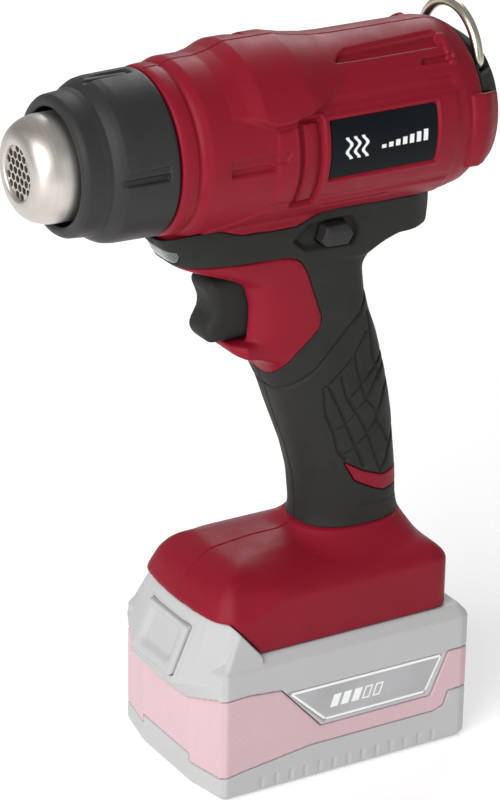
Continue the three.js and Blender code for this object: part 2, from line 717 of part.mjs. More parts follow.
/** Edge of the visor over the pack's front, which carries the release button. */
const visorEdge = [
  [-67, 0, 44.4],
  [-66.6, 14.6, 44.8],
  [-61.4, 25, 47],
  [-56.4, 36.6, 49.4],
  [-53.6, PACK_HALF_W, 50],
  [-38, PACK_HALF_W, 51],
];
/** The visor meets the foot's front edge here. */
const visorTop = [
  [-55.8, 0, 71.2],
  [-55, 15.6, 71.2],
  [-53.2, 26.6, 71.2],
  [-47.8, 32.6, 71.2],
  [-45, 33.4, 71.2],
  [-38, 33.4, 71.2],
];
const visorRoot = [
  [-59.3, 0, 35],
  [-59.3, 17, 36.6],
  [-58, 25, 39.6],
  [-55.8, 36.3, 42.6],
  [-53.6, PACK_HALF_W - 0.1, 43.4],
  [-38, PACK_HALF_W - 0.1, 45],
];
function packVisor() {
  const closed = (side) => closedRing([...side, [-34, side[5][1], side[5][2]], [-34, 0, side[5][2]]]);
  const form = loft([closed(visorRoot), closed(visorEdge), closed(visorTop)]);
  const underFoot = [[-70, 30], [-70, 71.2], [-48.8, 71.2], [-37.6, PACK_TOP_Z], [-37.6, 30]];
  return form.intersect(sideSlab(underFoot, -60, 60));
}

const bandTop = [
  [-90, 36.2],
  [-59.6, 36.6],
  [-55.8, 42.8],
  [-45, 43.4],
  [-30, 42],
  [-12, 22.4],
  [38, 22.4],
  [45.7, 40],
  [90, 39.6],
];
const bandBottom = [
  [-90, 9.2],
  [-56, 9.8],
  [-44.8, 11.5],
  [-16, 15],
  [40, 15],
  [44.5, 16.6],
  [46.5, 22.4],
  [90, 23],
];
const packLabel = [[-27, 39.8], [-10.5, 24.4], [35.6, 24.4], [43.2, 39.4]];

function buildPackCase() {
  const outer = loft([
    packRing(0, 2), packRing(1.6, 0.5), packRing(3.4, 0), packRing(53.4, 0), packRing(PACK_TOP_Z, 4)]);
  const inner = loft([packRing(PACK_WALL, PACK_WALL), packRing(51, PACK_WALL), packRing(54.6, PACK_WALL + 3)]);
  const frontChamfer = sideSlab([[-80, 51], [-59, 51], [-53, PACK_TOP_Z], [-53, 80], [-80, 80]], -60, 60);
  const nose = packVisor();
  const noseInside = sideSlab([[-54, 48], [-54, 68], [-50, 68], [-41, 54], [-41, 48]], -24, 24);
  const railBlock = join(
    box(-30, 22, -14, 14, PACK_TOP_Z - 1, 61.4),
    box(-30, 22, -19, 19, 61.2, 66),
  );
  const bladeSlots = [-12, -4, 4, 12].map((y) => box(-6, 30, y - 0.9, y + 0.9, 60, 70));
  const shell = cut(join(cut(join(cut(outer, frontChamfer), nose), inner, noseInside), railBlock), ...bladeSlots);

  const above = (outline, grow) =>
    sideSlab([...outline.map(([x, z]) => [x, z + grow]), [90, 90], [-90, 90]], -60, 60);
  const below = (outline, grow) =>
    sideSlab([[-90, -10], [90, -10], ...outline.map(([x, z]) => [x, z - grow]).reverse()], -60, 60);
  const buttonPocket = box(-80, -50, -14.3, 14.3, 48.7, 65.5);
  const frontPad = (grow) => box(-90, -52, -18 - grow, 18 + grow, -10, 13.2 + grow);
  const labelPocket = bothSides(sideSlab(grown(packLabel, GAP), PACK_HALF_W - 0.9, PACK_HALF_W + 5));
  const bosses = packScrews.map(([x, y]) => packPost(x, y, 3.4, 1, 56));
  const holes = packScrews.map(([x, y]) => join(packPost(x, y, 1.9, -5, 53), packPost(x, y, 3.4, -5, 2.6)));
  const full = cut(join(shell, ...bosses), ...holes);
  part("pack_upper_shell", cut(full.intersect(above(bandTop, PARTING)), buttonPocket, labelPocket), "packGrey");
  const lowRegion = (grow) => join(below(bandBottom, -grow), frontPad(grow));
  part("pack_band", cut(full.intersect(below(bandTop, PARTING)), lowRegion(PARTING)), "packPink");
  part("pack_lower_shell", full.intersect(lowRegion(-PARTING)), "packGrey");
  const plate = sideSlab(packLabel, PACK_HALF_W - 0.6, PACK_HALF_W);
  part("pack_label_right", plate, "label");
  part("pack_label_left", mirrored(plate), "label");
  packScrews.forEach(([x, y], i) => {
    const screw = join(packPost(x, y, 1.5, 1.2, 50), packPost(x, y, 3, 0.4, 2.2));
    part(`pack_screw_${i + 1}`, screw, "innerBlack");
  });
}

const packScrews = [[-51.4, -32.4], [-51.4, 32.4], [51, -32.4], [51, 32.4]];
function packPost(x, y, radius, z0, z1) {
  const geometry = new THREE.CylinderGeometry(radius, radius, z1 - z0, 10);
  geometry.rotateX(Math.PI / 2);
  geometry.translate(x, y, (z0 + z1) / 2);
  return solid(geometry);
}

function buildPackInside() {
  const spots = [];
  for (const z of [12.6, 32.2]) {
    for (let i = -2; i <= 2; i++) spots.push([i * CELL_PITCH, z]);
  }
  spots.forEach(([x, z], i) => {
    part(`cell_${i + 1}`, rodY(x, z, CELL_R, -CELL_LEN / 2, CELL_LEN / 2, 14), "cellBlue");
  });
  const frame = bothSides(box(-47, 47, 20, 24, 6, 43));
  const bars = join(box(-43.2, 47, -24, 24, 41.6, 43.4), box(-43.2, -41, -9, 9, 42, 54.2));
  const bores = spots.map(([x, z]) => rodY(x, z, CELL_R + 0.15, -30, 30, 14));
  part("cell_holder", cut(join(frame, bars), ...bores), "innerBlack");
  part("pack_board", box(-36, 44, -28, 28, 45.4, 47), "board");
  part("contact_block", box(-4, 18, -16, 16, 47.4, 53.6), "innerBlack");

  const capForm = sideSlab([[-58.9, 65.2], [-66.2, 49], [-52, 49], [-52, 65.2]], -14, 14);
  const cap = join(capForm, box(-52.4, -48, -9, 9, 49, 54.4));
  const thumbDish = turnedAlongY(-79.4, 65.6, [[-10.6, 0], [-10.6, 19.2], [10.6, 19.2], [10.6, 0]], 32);
  part("release_button", cut(cap, thumbDish), "packGrey");
  const spring = turned([[-47.7, 2], [-47.7, 3], [-43.5, 3], [-43.5, 2]], 12);
  part("release_spring", spring.translate([0, 0, 51 - AXIS_Z]), "steel");
  const blades = [-12, -4, 4, 12].map((y) => box(0, 16, y - 0.4, y + 0.4, 61, 68));
  part("terminal_block", join(box(-8, 22, -18, 18, 66.4, 76), ...blades), "innerBlack");
}

buildHousing();
buildHeatGuard();
buildOutlet();
buildHeater();
buildFan();
buildRear();
buildControls();
buildPackCase();
buildPackInside();

export default heatGun;
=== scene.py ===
"""Cordless heat gun with a battery pack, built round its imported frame.

Lengths in the builders are millimetres in the frame's own axes: the outlet points to -X,
the left side faces -Y and the floor is Z = 0. Finished meshes are in metres.
"""
import math

import bmesh
import bpy
import numpy as np
import openvdb
from mathutils import Matrix, Vector


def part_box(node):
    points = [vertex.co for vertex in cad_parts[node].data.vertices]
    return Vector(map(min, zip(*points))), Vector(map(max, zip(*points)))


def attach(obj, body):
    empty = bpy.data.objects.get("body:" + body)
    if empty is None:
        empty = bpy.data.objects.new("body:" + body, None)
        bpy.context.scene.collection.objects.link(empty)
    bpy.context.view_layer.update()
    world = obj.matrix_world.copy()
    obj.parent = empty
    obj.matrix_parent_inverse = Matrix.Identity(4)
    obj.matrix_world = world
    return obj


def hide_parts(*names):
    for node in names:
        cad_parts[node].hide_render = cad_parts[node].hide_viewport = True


bl_info = {
    "name": "Cordless heat gun",
    "version": (1, 0, 0),
    "blender": (4, 5, 0),
    "location": "3D View > Sidebar > Heat gun",
    "description": "Builds a cordless heat gun piece by piece round its packed frame",
    "category": "Add Mesh",
}

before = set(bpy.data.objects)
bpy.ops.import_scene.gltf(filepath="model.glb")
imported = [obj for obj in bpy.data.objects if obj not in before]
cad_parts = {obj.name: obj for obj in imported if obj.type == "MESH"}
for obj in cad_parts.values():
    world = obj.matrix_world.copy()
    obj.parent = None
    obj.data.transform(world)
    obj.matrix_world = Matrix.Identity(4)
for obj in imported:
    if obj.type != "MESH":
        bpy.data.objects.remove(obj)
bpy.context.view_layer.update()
MM = 0.001
SIDES = (("left", -1), ("right", 1))  # name and sign of Y

# ------------------------------------------------------------------ dimensions, mm
AXIS_Z = 254.0  # height of the barrel's axis
PARTING = 0.15  # half the gap between the housing halves
GAP = 0.3  # clearance between neighbouring mouldings
BARREL_R = 33.0
BARREL_FRONT, BARREL_REAR = -71.0, 57.0
BARREL_BORE_R, MOUTH_R = 30, 22
SKIN = 2.0  # overmould thickness
GRIP_WALL = 4.2
NECK_LOW_Z, NECK_TOP_Z = 84, 232
FOOT_FILLET, BARREL_FILLET = 7.0, 1.6
OVERMOULD_CORNER, LENS_CORNER = 2.6, 1.2
LOCK_DISH_DEPTH = 2.4
TRIGGER_BORE, RELEASE_BORE = (-30.2, 188, 4.0), (-51.0, 51, 3.4)  # blind end x, height, radius
FOOT_BASE_Z = 58.0
PACK_TOP_Z = 57.6
PACK_HALF_W = 38.0
PACK_FRONT, PACK_REAR = -59.5, 56.5
RING_X, RING_Z, RING_R, WIRE_R = 60.5, 271.5, 19.5, 2.0
ARC = math.radians(1) * BARREL_R  # length of one degree on the barrel

# Neck and grip: z, front x, rear x, half width, squareness.
NECK = [
    (86, -7, 43.4, 22, 2.6), (90, -4.6, 41.6, 19.6, 2.5), (93, -3.3, 40.2, 17.6, 2.4),
    (98, -3, 39.5, 17, 2.3), (112, -4.4, 38.6, 17.4, 2.3), (124, -7.6, 37.2, 17.8, 2.3),
    (134, -11.4, 36, 18, 2.4), (143, -14.8, 34.3, 18, 2.5), (152, -17.7, 32, 18, 2.7),
    (161, -21.9, 29.4, 18, 2.9), (165.5, -24.8, 28, 18, 3), (170.5, -33.2, 26.4, 18, 3.3),
    (180, -32, 22.4, 17.9, 3.5), (190, -31.4, 19.8, 17.8, 3.5), (199, -34, 18.9, 17.6, 3.5),
    (203, -44, 22.4, 17.5, 3.5), (207, -56, 27.6, 17.4, 3.5), (210.5, -62.5, 35, 17.3, 3.6),
    (214, -64.6, 42.5, 17.2, 3.6), (218, -66.3, 45.8, 17, 3.8), (223, -68.6, 46.5, 16.4, 4),
    (232, -68.6, 44, 14, 4),
]
WING = [(0, 226), (0, 206), (16, 204), (24, 208), (30, 210), (45.4, 210.4), (48.6, 221), (48.6, 226)]
WING_PLAN = [(0, -16.8), (38, -16.8), (48.8, -9), (48.8, 9), (38, 16.8), (0, 16.8)]
TRIGGER_LIP = [(-38.6, 175.6), (-38.2, 172.2), (-34, 170), (-27, 168.6), (-18, 166), (-12, 176)]
BARREL_PROFILE = [
    (-71, 30.8), (-69, 31.3), (-65, 31.5), (-64.4, 30.9), (-63.4, 30.9), (-62.8, 31.8),
    (-59.5, 33), (48, 33), (54, 31.8), (57, 30.3),
]
HUMP_PROFILE = [(-50, 0), (-44, 1.2), (-38, 3.5), (-18, 3.5), (-9, 1.6), (0, 0.4), (8, 0)]
FOOT_PLAN = [
    (-56.4, 0), (-55.5, 15.6), (-53.6, 26.9), (-48, 33), (-38.4, 34), (44, 34), (48, 31), (49, 26), (49, 0),
]
# Height of the foot's bonnet against the distance in from its edge.
FOOT_FRONT = [(0, 70.5), (0.4, 71.6), (1.8, 76), (3.8, 79.5), (6, 82), (8.9, 84.6), (12.4, 87), (16.9, 89), (30, 90.5)]
FOOT_SIDE = [(0, 77), (0.3, 79.5), (3, 82), (8, 84.6), (14, 87), (21, 89), (34, 90.5)]

# Outlines in side view, (x, z).
OVERMOULD = [
    (-90, 224.4), (-66, 224.4), (-48, 224.2), (-38.5, 221), (-15, 220.4), (-4.5, 224.2), (5, 224.9),
    (60, 223.4), (60, 93), (-30, 93), (-60, 158.8), (-21, 159), (-18.8, 164), (-15, 169.6),
    (-4.6, 178.4), (-3.4, 182.4), (-10, 201.6), (-13.2, 207.4), (-19, 209.2), (-60, 210.4), (-90, 210.4),
]
ACCENT = [(8.5, 120.5), (16.5, 115.6), (26, 111.6), (60, 111.4), (60, 104.4), (27, 105), (22.5, 107), (13.5, 112)]
LOCK = [(-5.5, 213.4), (-3.4, 211.4), (5.6, 211.2), (8, 215), (5.6, 219.4), (-3.4, 219.2)]
LOCK_DISH = [(-16, 215), (-11, 211), (9, 210.4), (12, 215), (8.6, 220.6), (-9, 220.2)]
TRIGGER_WINDOW = [(-70, 175.2), (-18, 175.2), (-18, 202.2), (-70, 202.2)]
TRIGGER_WINDOW_HALF_W = 8.9
LENS = [(-90, 211.6), (-61.2, 211.4), (-60.6, 216.8), (-90, 218)]
LENS_HALF_W = 10.6
FOOT_NOSE_CUT = [(-90, 40), (-90, 71.6), (-48.5, 71.6), (-37, 58), (-37, 40)]
TRIGGER = [
    (-24, 176), (-24, 201.6), (-44.8, 201.6), (-46.7, 200), (-46.9, 197.8), (-45.5, 194.6), (-44.3, 191.3),
    (-44.5, 187.7), (-46.9, 183.4), (-47.6, 181.5), (-47.5, 179.6), (-46.6, 177.8), (-44.9, 176),
]
BAND_TOP = [
    (-90, 36.2), (-59.6, 36.6), (-55.8, 42.8), (-45, 43.4), (-30, 42), (-12, 22.4), (38, 22.4), (45.7, 40),
    (90, 39.6),
]
BAND_BOTTOM = [
    (-90, 9.2), (-56, 9.8), (-44.8, 11.5), (-16, 15), (40, 15), (44.5, 16.6), (46.5, 22.4), (90, 23),
]
PACK_LABEL = [(-27, 39.8), (-10.5, 24.4), (35.6, 24.4), (43.2, 39.4)]

# Finger grooves pressed into the rubber, as runs of (x, z).
GRIP_SEAM = [
    (-26, 153), (-17.4, 153.3), (-12, 157.3), (-6.2, 161.5), (2.1, 170.1), (7.9, 176), (14.7, 181.5), (18.6, 188),
    (22, 196),
]
GRIP_GROOVES = [
    [(18.2, 179.8), (19.2, 175), (20.1, 163.2), (23.7, 152.4)],
    [(17.1, 172.5), (11.9, 165.2), (12.5, 159.7), (15, 152.5), (16.6, 146.3), (21.4, 141), (22.4, 136.6), (28.9, 125)],
    [(5.8, 156.9), (8.3, 148), (13.6, 140.1), (18, 131.6), (24.1, 116.1)],
    [(0.4, 153.8), (4.3, 146.3), (8.2, 137.9), (12.1, 128.6), (17.1, 117.7)],
    [(30, 163), (21.7, 157.8), (15, 151.6), (9.7, 146.8), (11.7, 142.2)],
    [(32, 160), (22.3, 152.7), (18, 146), (13.1, 141.1), (9.1, 136.8), (3.7, 134.6)],
    [(34, 153), (27.1, 146.6), (22, 135.4), (18, 130.7), (13.1, 126.6), (8.6, 123.8)],
    [(10.6, 163.4), (5.7, 159), (0.4, 154.6), (-1.8, 153.4), (-0.1, 142.2), (3.3, 134.7), (5.8, 125.7), (9.2, 121.8)],
    [(36, 131), (29.5, 121.4), (28.2, 117.4), (25.1, 113.7)],
]
# Housing screws, x, z and the height of the head's face on the right side.
HOUSING_SCREWS = [(-43, 79.5, 14), (40, 72, 29), (-4, 150, 13), (36, 218, 13), (-51, 214.5, 13), (-28, 286.5, 5.5)]
PACK_SCREWS = [(-51.4, -32.4), (-51.4, 32.4), (51, -32.4), (51, 32.4)]
SCREW_WELL_R, SCREW_BORE_R, SCREW_POST_R = 3.5, 1.7, 4.6

# Outlines turned about the barrel's axis, (x, radius).
SPIGOT = [(-79, 25.2), (-79, 27.6), (-70, 27.6), (-70, 25.2)]
HEAT_GUARD = [
    (-107, 21.7), (-107.6, 23.2), (-107, 25), (-105.4, 26), (-99.5, 26.5), (-97, 27), (-94.5, 28.8), (-92.3, 29.9),
    (-89, 30.4), (-73, 30.8), (-71.9, 30.4), (-71.9, 28.2), (-88, 27.9), (-96, 24.2), (-104, 23.2), (-106, 21.7),
]
CAP_OUTSIDE = [(57.3, 0), (57.3, 30.1), (60, 28.2), (64, 25.6), (68, 22.6), (70, 19.6), (71, 14), (71.3, 0)]
CAP_INSIDE = [(50, 0), (50, 27), (57.3, 27), (64.4, 21.8), (67.6, 15), (68.4, 0)]
OUTLET = [
    (-92, 19.9), (-108, 19.9), (-111.5, 19.8), (-113.5, 19.5), (-115.4, 18.9), (-117, 18.2), (-118.4, 17.3),
    (-119.6, 16.2), (-120.5, 14.9), (-121.1, 13.4), (-121.35, 12.2), (-121.4, 11), (-121.2, 10.3), (-120.7, 9.95),
    (-119.8, 9.8), (-116.5, 9.8), (-116.5, 11.2), (-118.6, 11.4), (-119.4, 13.2), (-118.3, 15.2), (-116.4, 16.8),
    (-112.6, 18.8), (-92, 19.1),
]
GRILLE_X = -119.5
SIDE_PAD_PROFILE = [(50, 33.6), (56, 34), (58.5, 33), (64.6, 28.6)]

# Sloping front of the pack: distance out from the middle, x and height.
VISOR_ROOT = [(0, -59.3, 35), (17, -59.3, 36.6), (25, -58, 39.6), (36.3, -55.8, 42.6), (38, -53.6, 43.4)]
VISOR_EDGE = [(0, -67, 44.4), (14.6, -66.6, 44.8), (25, -61.4, 47), (36.6, -56.4, 49.4), (38, -53.6, 50)]
VISOR_TOP = [(0, -55.8, 71.2), (13, -55.1, 71.2), (23, -53.2, 71.2), (31.5, -47.8, 71.2), (33.5, -45, 71.2)]
VISOR_SIDE_VIEW = [(-70, 34), (-70, 71.2), (-48.8, 71.2), (-37.6, 57.6), (-37.6, 34)]
PACK_CHAMFER = [(-80, 51), (-59, 51), (-53, 57.6), (-53, 80), (-80, 80)]
PACK_NOSE_HOLLOW = [(-52, 48), (-52, 65), (-49, 65), (-41, 54), (-41, 48)]
RELEASE_SIDE_VIEW = [(-58.7, 65.8), (-66.7, 47), (-52, 47), (-52, 65.8)]

# Reliefs of the barrel's skin: height, width of the slope and outline as (x, degrees above level).
HUMP = [
    (-50, 31), (-46, 30), (-34, 21.5), (-27, 21.5), (-19, 25), (-11, 32), (-2, 43), (8, 52), (12, 100), (12, 140),
    (-50, 140),
]
BROAD_RELIEFS = [
    # side panel, the channel over it, the shoulder that swells into the neck and its groove
    (0.55, 1.4, [(-33, -33), (44, -33), (44, 24), (-9, 24), (-20, 21), (-33, 17)]),
    (-0.5, 2.2, [(-31, 19.5), (-20, 24), (-9, 28), (30, 28.5), (44, 28.5), (44, 33), (4, 33), (-8, 33), (-19, 26)]),
    (0.7, 1.2, [(-54, -58), (-34, -38), (-8, -39.5), (44, -39.5), (50, -120), (-54, -120)]),
    (-1.2, 0.7, [(-8, -46), (20, -45.2), (18, -43.6), (-10, -44.2)]),
]
FINE_RELIEFS = [
    # stepped strips behind the front ring
    (-0.8, 0.7, [(-52, -1.4), (-30, -1.4), (-27.5, 5), (-52, 5)]),
    (-1.5, 0.7, [(-52, -6), (-33, -6), (-36, -1.4), (-52, -1.4)]),
    # louvres and the fin that ends them
    (-2, 1.0, [(-1, 57), (45, 57), (45, 65.5), (2, 62.5)]),
    (-0.7, 1.2, [(2, 62.5), (45, 65.5), (45, 71), (6, 67)]),
    (-1.5, 0.8, [(33, 45.2), (47, 45.2), (47, 49.2), (35, 49.2)]),
    (-0.5, 1.0, [(34, 34.5), (44, 34.5), (44, 36.4), (36, 36.4)]),
    (1.1, 0.9, [(44.8, 42), (47.8, 42), (48.6, 66), (45.4, 66)]),
]
VENT_SLOT, VENT_BAR = (-24, -14.4, -39, 23), (-21.9, -15.9, -37, 21)
LABEL_POCKET, LABEL_FILM = (-11.2, 34.9, -20, 20), (-10.8, 34.5, -19.5, 19.5)

# Stage, in metres and degrees.
CAMERA_ANGLES = (-31.0, 23.5, 1.0)  # azimuth, elevation and roll
CAMERA_PLACE = (-0.6475, -1.0381, 0.6734)
FOCAL_LENGTH_MM, SENSOR_WIDTH_MM = 157.5, 36
FLOOR_REACH = 6
FLOOR_GLOW = 0.3
WORLD_STRENGTH = 0.33
LIGHTS = [
    # name, place, aim, width, power
    ("key", (-1.8, -0.8, 1.2), (0, 0, 0.18), 2.0, 50),
    ("fill", (0.5, -1.9, 0.8), (0, 0, 0.17), 1.6, 3),
    ("rim", (1.0, 1.3, 1.2), (0, 0, 0.2), 0.9, 12),
]


# ------------------------------------------------------------------ sizes and colours
class HeatGunSizes(bpy.types.PropertyGroup):
    """Detail sizes that a user may want to change."""

    voxel: bpy.props.FloatProperty(
        name="Skin resolution", description="Spacing of the samples that a moulding's skin is drawn through",
        default=0.00055, min=0.0003, max=0.002, unit="LENGTH")
    groove: bpy.props.FloatProperty(
        name="Grip groove depth", description="Depth of the grooves in the rubber grip",
        default=0.001, min=0.0, max=0.0016, unit="LENGTH")
    edge: bpy.props.FloatProperty(
        name="Edge radius", description="Radius on the outer edges of the mouldings",
        default=0.0004, min=0.0, max=0.002, unit="LENGTH")
    grille_hole: bpy.props.FloatProperty(
        name="Grille hole", description="Radius of one hole of the outlet grille",
        default=0.00152, min=0.0008, max=0.0016, unit="LENGTH")
    grille_pitch: bpy.props.FloatProperty(
        name="Grille pitch", description="Distance between holes of the outlet grille",
        default=0.0033, min=0.0028, max=0.005, unit="LENGTH")
    screw_socket: bpy.props.FloatProperty(
        name="Screw socket", description="Radius of the socket in a screw's head",
        default=0.0013, min=0.0006, max=0.002, unit="LENGTH")


def colour(name, description, default):
    return bpy.props.FloatVectorProperty(
        name=name, description=description, default=default, size=3, min=0.0, max=1.0, subtype="COLOR")


class HeatGunColours(bpy.types.PropertyGroup):
    """Finish colours, as linear light."""

    shell: colour("Shell", "Moulded red of the housing", (0.232, 0.0070, 0.0190))
    grip: colour("Grip", "Soft overmould and rear cap", (0.0195, 0.0195, 0.0178))
    guard: colour("Heat guard", "Collar round the outlet", (0.0235, 0.0245, 0.0238))
    steel: colour("Outlet", "Stainless outlet", (0.66, 0.655, 0.645))
    wire: colour("Hanging ring", "Nickel wire", (0.60, 0.56, 0.46))
    label: colour("Label", "Film of the side labels", (0.004, 0.006, 0.008))
    mark: colour("Label mark", "Printed marks on the labels", (0.86, 0.87, 0.87))
    pack: colour("Pack", "Battery pack shells", (0.47, 0.47, 0.47))
    band: colour("Pack band", "Coloured band round the pack", (0.60, 0.42, 0.45))


def sizes():
    return bpy.context.scene.heat_gun_sizes


def colours():
    return bpy.context.scene.heat_gun_colours


# ------------------------------------------------------------------ signed distance helpers
class Samples:
    """Evenly spaced sample points between two corners."""

    def __init__(self, low, high, step):
        self.step = step
        self.low = np.array(low, np.float32) - 3 * step
        counts = np.ceil((np.array(high, np.float32) + 3 * step - self.low) / step).astype(int) + 1
        self.shape = tuple(int(n) for n in counts)
        along = [self.low[i] + step * np.arange(n, dtype=np.float32) for i, n in enumerate(counts)]
        self.x = along[0][:, None, None]
        self.y = along[1][None, :, None]
        self.z = along[2][None, None, :]


def rounded_max(a, b, radius):
    """The overlap of two solids with a rounded edge."""
    near = np.maximum(radius - np.abs(a - b), 0)
    return np.maximum(a, b) + near * near / (4 * radius)


def rounded_min(a, b, radius):
    """The union of two solids with a fillet."""
    return -rounded_max(-a, -b, radius)


def outline_distance(corners, u, v):
    """Signed distance to a closed outline, negative inside it."""
    u, v = np.broadcast_arrays(u, v)
    nearest = np.full(u.shape, 1e9, np.float32)
    inside = np.zeros(u.shape, bool)
    for (u0, v0), (u1, v1) in zip(corners, corners[1:] + corners[:1]):
        du, dv = u1 - u0, v1 - v0
        along = np.clip(((u - u0) * du + (v - v0) * dv) / (du * du + dv * dv), 0, 1)
        nearest = np.minimum(nearest, (u - u0 - along * du) ** 2 + (v - v0 - along * dv) ** 2)
        if dv:
            inside ^= ((v0 <= v) != (v1 <= v)) & (u < u0 + (v - v0) * du / dv)
    return np.where(inside, -1, 1) * np.sqrt(nearest)


def filleted(corners, reach=2.0, steps=4):
    """Outline with its corners rounded."""
    made = []
    for before, here, after in zip(corners[-1:] + corners[:-1], corners, corners[1:] + corners[:1]):
        here = Vector(here)
        into, out = Vector(before) - here, Vector(after) - here
        start = here + into * min(reach / into.length, 0.45)
        end = here + out * min(reach / out.length, 0.45)
        for i in range(steps + 1):
            t = i / steps
            made.append(tuple(start * (1 - t) ** 2 + here * 2 * t * (1 - t) + end * t * t))
    return made


def run_distance(points, u, v):
    """Distance to an open run of straight lines."""
    nearest = np.full(np.broadcast(u, v).shape, 1e9, np.float32)
    for (u0, v0), (u1, v1) in zip(points, points[1:]):
        du, dv = u1 - u0, v1 - v0
        along = np.clip(((u - u0) * du + (v - v0) * dv) / (du * du + dv * dv), 0, 1)
        nearest = np.minimum(nearest, (u - u0 - along * du) ** 2 + (v - v0 - along * dv) ** 2)
    return np.sqrt(nearest)


def plateau(distance, width):
    """1 inside an outline and 0 outside, with an eased slope of that width."""
    share = np.clip(0.5 - distance / width, 0, 1)
    return share * share * (3 - 2 * share)


def table(rows, at):
    """Value read from rows of (place, value)."""
    rows = np.array(rows, float)
    return np.interp(at, rows[:, 0], rows[:, 1]).astype(np.float32)


def soft_table(rows, at, width):
    """Table read through a moving average, so that its corners are round."""
    rows = np.array(rows, float)
    fine = np.arange(rows[0, 0] - width, rows[-1, 0] + width, width / 12)
    bell = np.hanning(15)[1:-1]
    values = np.convolve(np.pad(np.interp(fine, rows[:, 0], rows[:, 1]), 6, "edge"), bell / bell.sum(), "valid")
    return np.interp(at, fine, values).astype(np.float32)


def blurred(field, step, reach):
    """Field over the plan, averaged so that its ridges are round."""
    count = max(1, int(reach / step))
    bell = np.hanning(2 * count + 3)[1:-1]
    for axis in (0, 1):
        field = np.apply_along_axis(
            lambda row: np.convolve(np.pad(row, count, "edge"), bell / bell.sum(), "valid"), axis, field)
    return field.astype(np.float32)


def block(s, x0, x1, y0, y1, z0, z1):
    """Box between two values of each coordinate."""
    dx = np.maximum(x0 - s.x, s.x - x1)
    dy = np.maximum(y0 - s.y, s.y - y1)
    dz = np.maximum(z0 - s.z, s.z - z1)
    return np.maximum(np.maximum(dx, dy), dz)


def side_view(s, corners):
    """Distance to an outline drawn from the side, the same over the whole width."""
    return outline_distance(corners, s.x[:, 0, :], s.z[0])[:, None, :]


def plan_view(s, corners):
    """Distance to an outline drawn from above, the same over the whole height."""
    return outline_distance(corners, s.x[:, :, 0], s.y[0].T)[:, :, None]


def axis_distance(s):
    return np.hypot(s.y, s.z - AXIS_Z)


def level_angle(s, out):
    """Degrees above the level line through the barrel's axis."""
    return np.degrees(np.arctan2(s.z - AXIS_Z, out))


def read_columns(flat, place):
    """Columns of a map at places between its columns."""
    low = place.astype(int)
    share = place - low
    return flat[:, low] * (1 - share) + flat[:, low + 1] * share


def turned(s, outline, step=0.15):
    """Solid of revolution about the barrel's axis, from a closed (x, radius) outline."""
    radius = axis_distance(s)
    span = np.arange(0, float(radius.max()) + 2 * step, step, dtype=np.float32)
    flat = outline_distance(outline, s.x[:, 0, :], span[None, :]).astype(np.float32)
    return read_columns(flat, radius[0] / step)


def sector(s, angle, x0, x1, from_deg, to_deg):
    """Stretch of the barrel's skin between two places and two angles."""
    along = np.maximum(x0 - s.x, s.x - x1)
    return np.maximum(along, np.maximum(from_deg - angle, angle - to_deg) * ARC)


# ------------------------------------------------------------------ meshes
def linked(name, data):
    """New object in the scene."""
    obj = bpy.data.objects.new(name, data)
    bpy.context.scene.collection.objects.link(obj)
    return obj


def from_bmesh(name, made):
    """Object from a bmesh, with its faces turned out."""
    bmesh.ops.recalc_face_normals(made, faces=made.faces)
    mesh = bpy.data.meshes.new(name)
    made.to_mesh(mesh)
    made.free()
    return linked(name, mesh)


def mesh_object(name, points, faces):
    """Object from points in millimetres and equal faces, facing out."""
    points, faces = np.asarray(points, float) * MM, np.asarray(faces)
    a, b, c = (points[faces[:, i]] for i in range(3))
    volume = np.einsum("ij,ij->i", a, np.cross(b, c)).sum()
    if faces.shape[1] == 4:
        d = points[faces[:, 3]]
        volume += np.einsum("ij,ij->i", a, np.cross(c, d)).sum()
    if volume < 0:
        faces = faces[:, ::-1]
    mesh = bpy.data.meshes.new(name)
    mesh.vertices.add(len(points))
    mesh.vertices.foreach_set("co", points.astype(np.float32).ravel())
    mesh.loops.add(faces.size)
    mesh.loops.foreach_set("vertex_index", faces.astype(np.int32).ravel())
    mesh.polygons.add(len(faces))
    mesh.polygons.foreach_set("loop_start", np.arange(0, faces.size, faces.shape[1], dtype=np.int32))
    mesh.update(calc_edges=True)
    return linked(name, mesh)


def settled(obj):
    """Applies an object's modifiers to its mesh."""
    bpy.context.view_layer.update()
    graph = bpy.context.evaluated_depsgraph_get()
    made = bpy.data.meshes.new_from_object(obj.evaluated_get(graph))
    obj.modifiers.clear()
    old, obj.data = obj.data, made
    bpy.data.meshes.remove(old)
    made.name = obj.name
    return obj


def field_normals(distance, places):
    """Unit gradients of a sampled field at places given in samples."""

    def value(at):
        """The field at places between its samples."""
        at = np.clip(at, 0, np.array(distance.shape) - 1.001)
        low = at.astype(int)
        f = at - low
        total = 0
        for i in (0, 1):
            for j in (0, 1):
                for k in (0, 1):
                    weight = (
                        (f[:, 0] if i else 1 - f[:, 0])
                        * (f[:, 1] if j else 1 - f[:, 1])
                        * (f[:, 2] if k else 1 - f[:, 2])
                    )
                    total = total + weight * distance[low[:, 0] + i, low[:, 1] + j, low[:, 2] + k]
        return total

    reach = 0.8
    slopes = []
    for axis in range(3):
        shift = np.zeros(3)
        shift[axis] = reach
        slopes.append(value(places + shift) - value(places - shift))
    slopes = np.stack(slopes, 1)
    return slopes / np.maximum(np.linalg.norm(slopes, axis=1, keepdims=True), 1e-9)


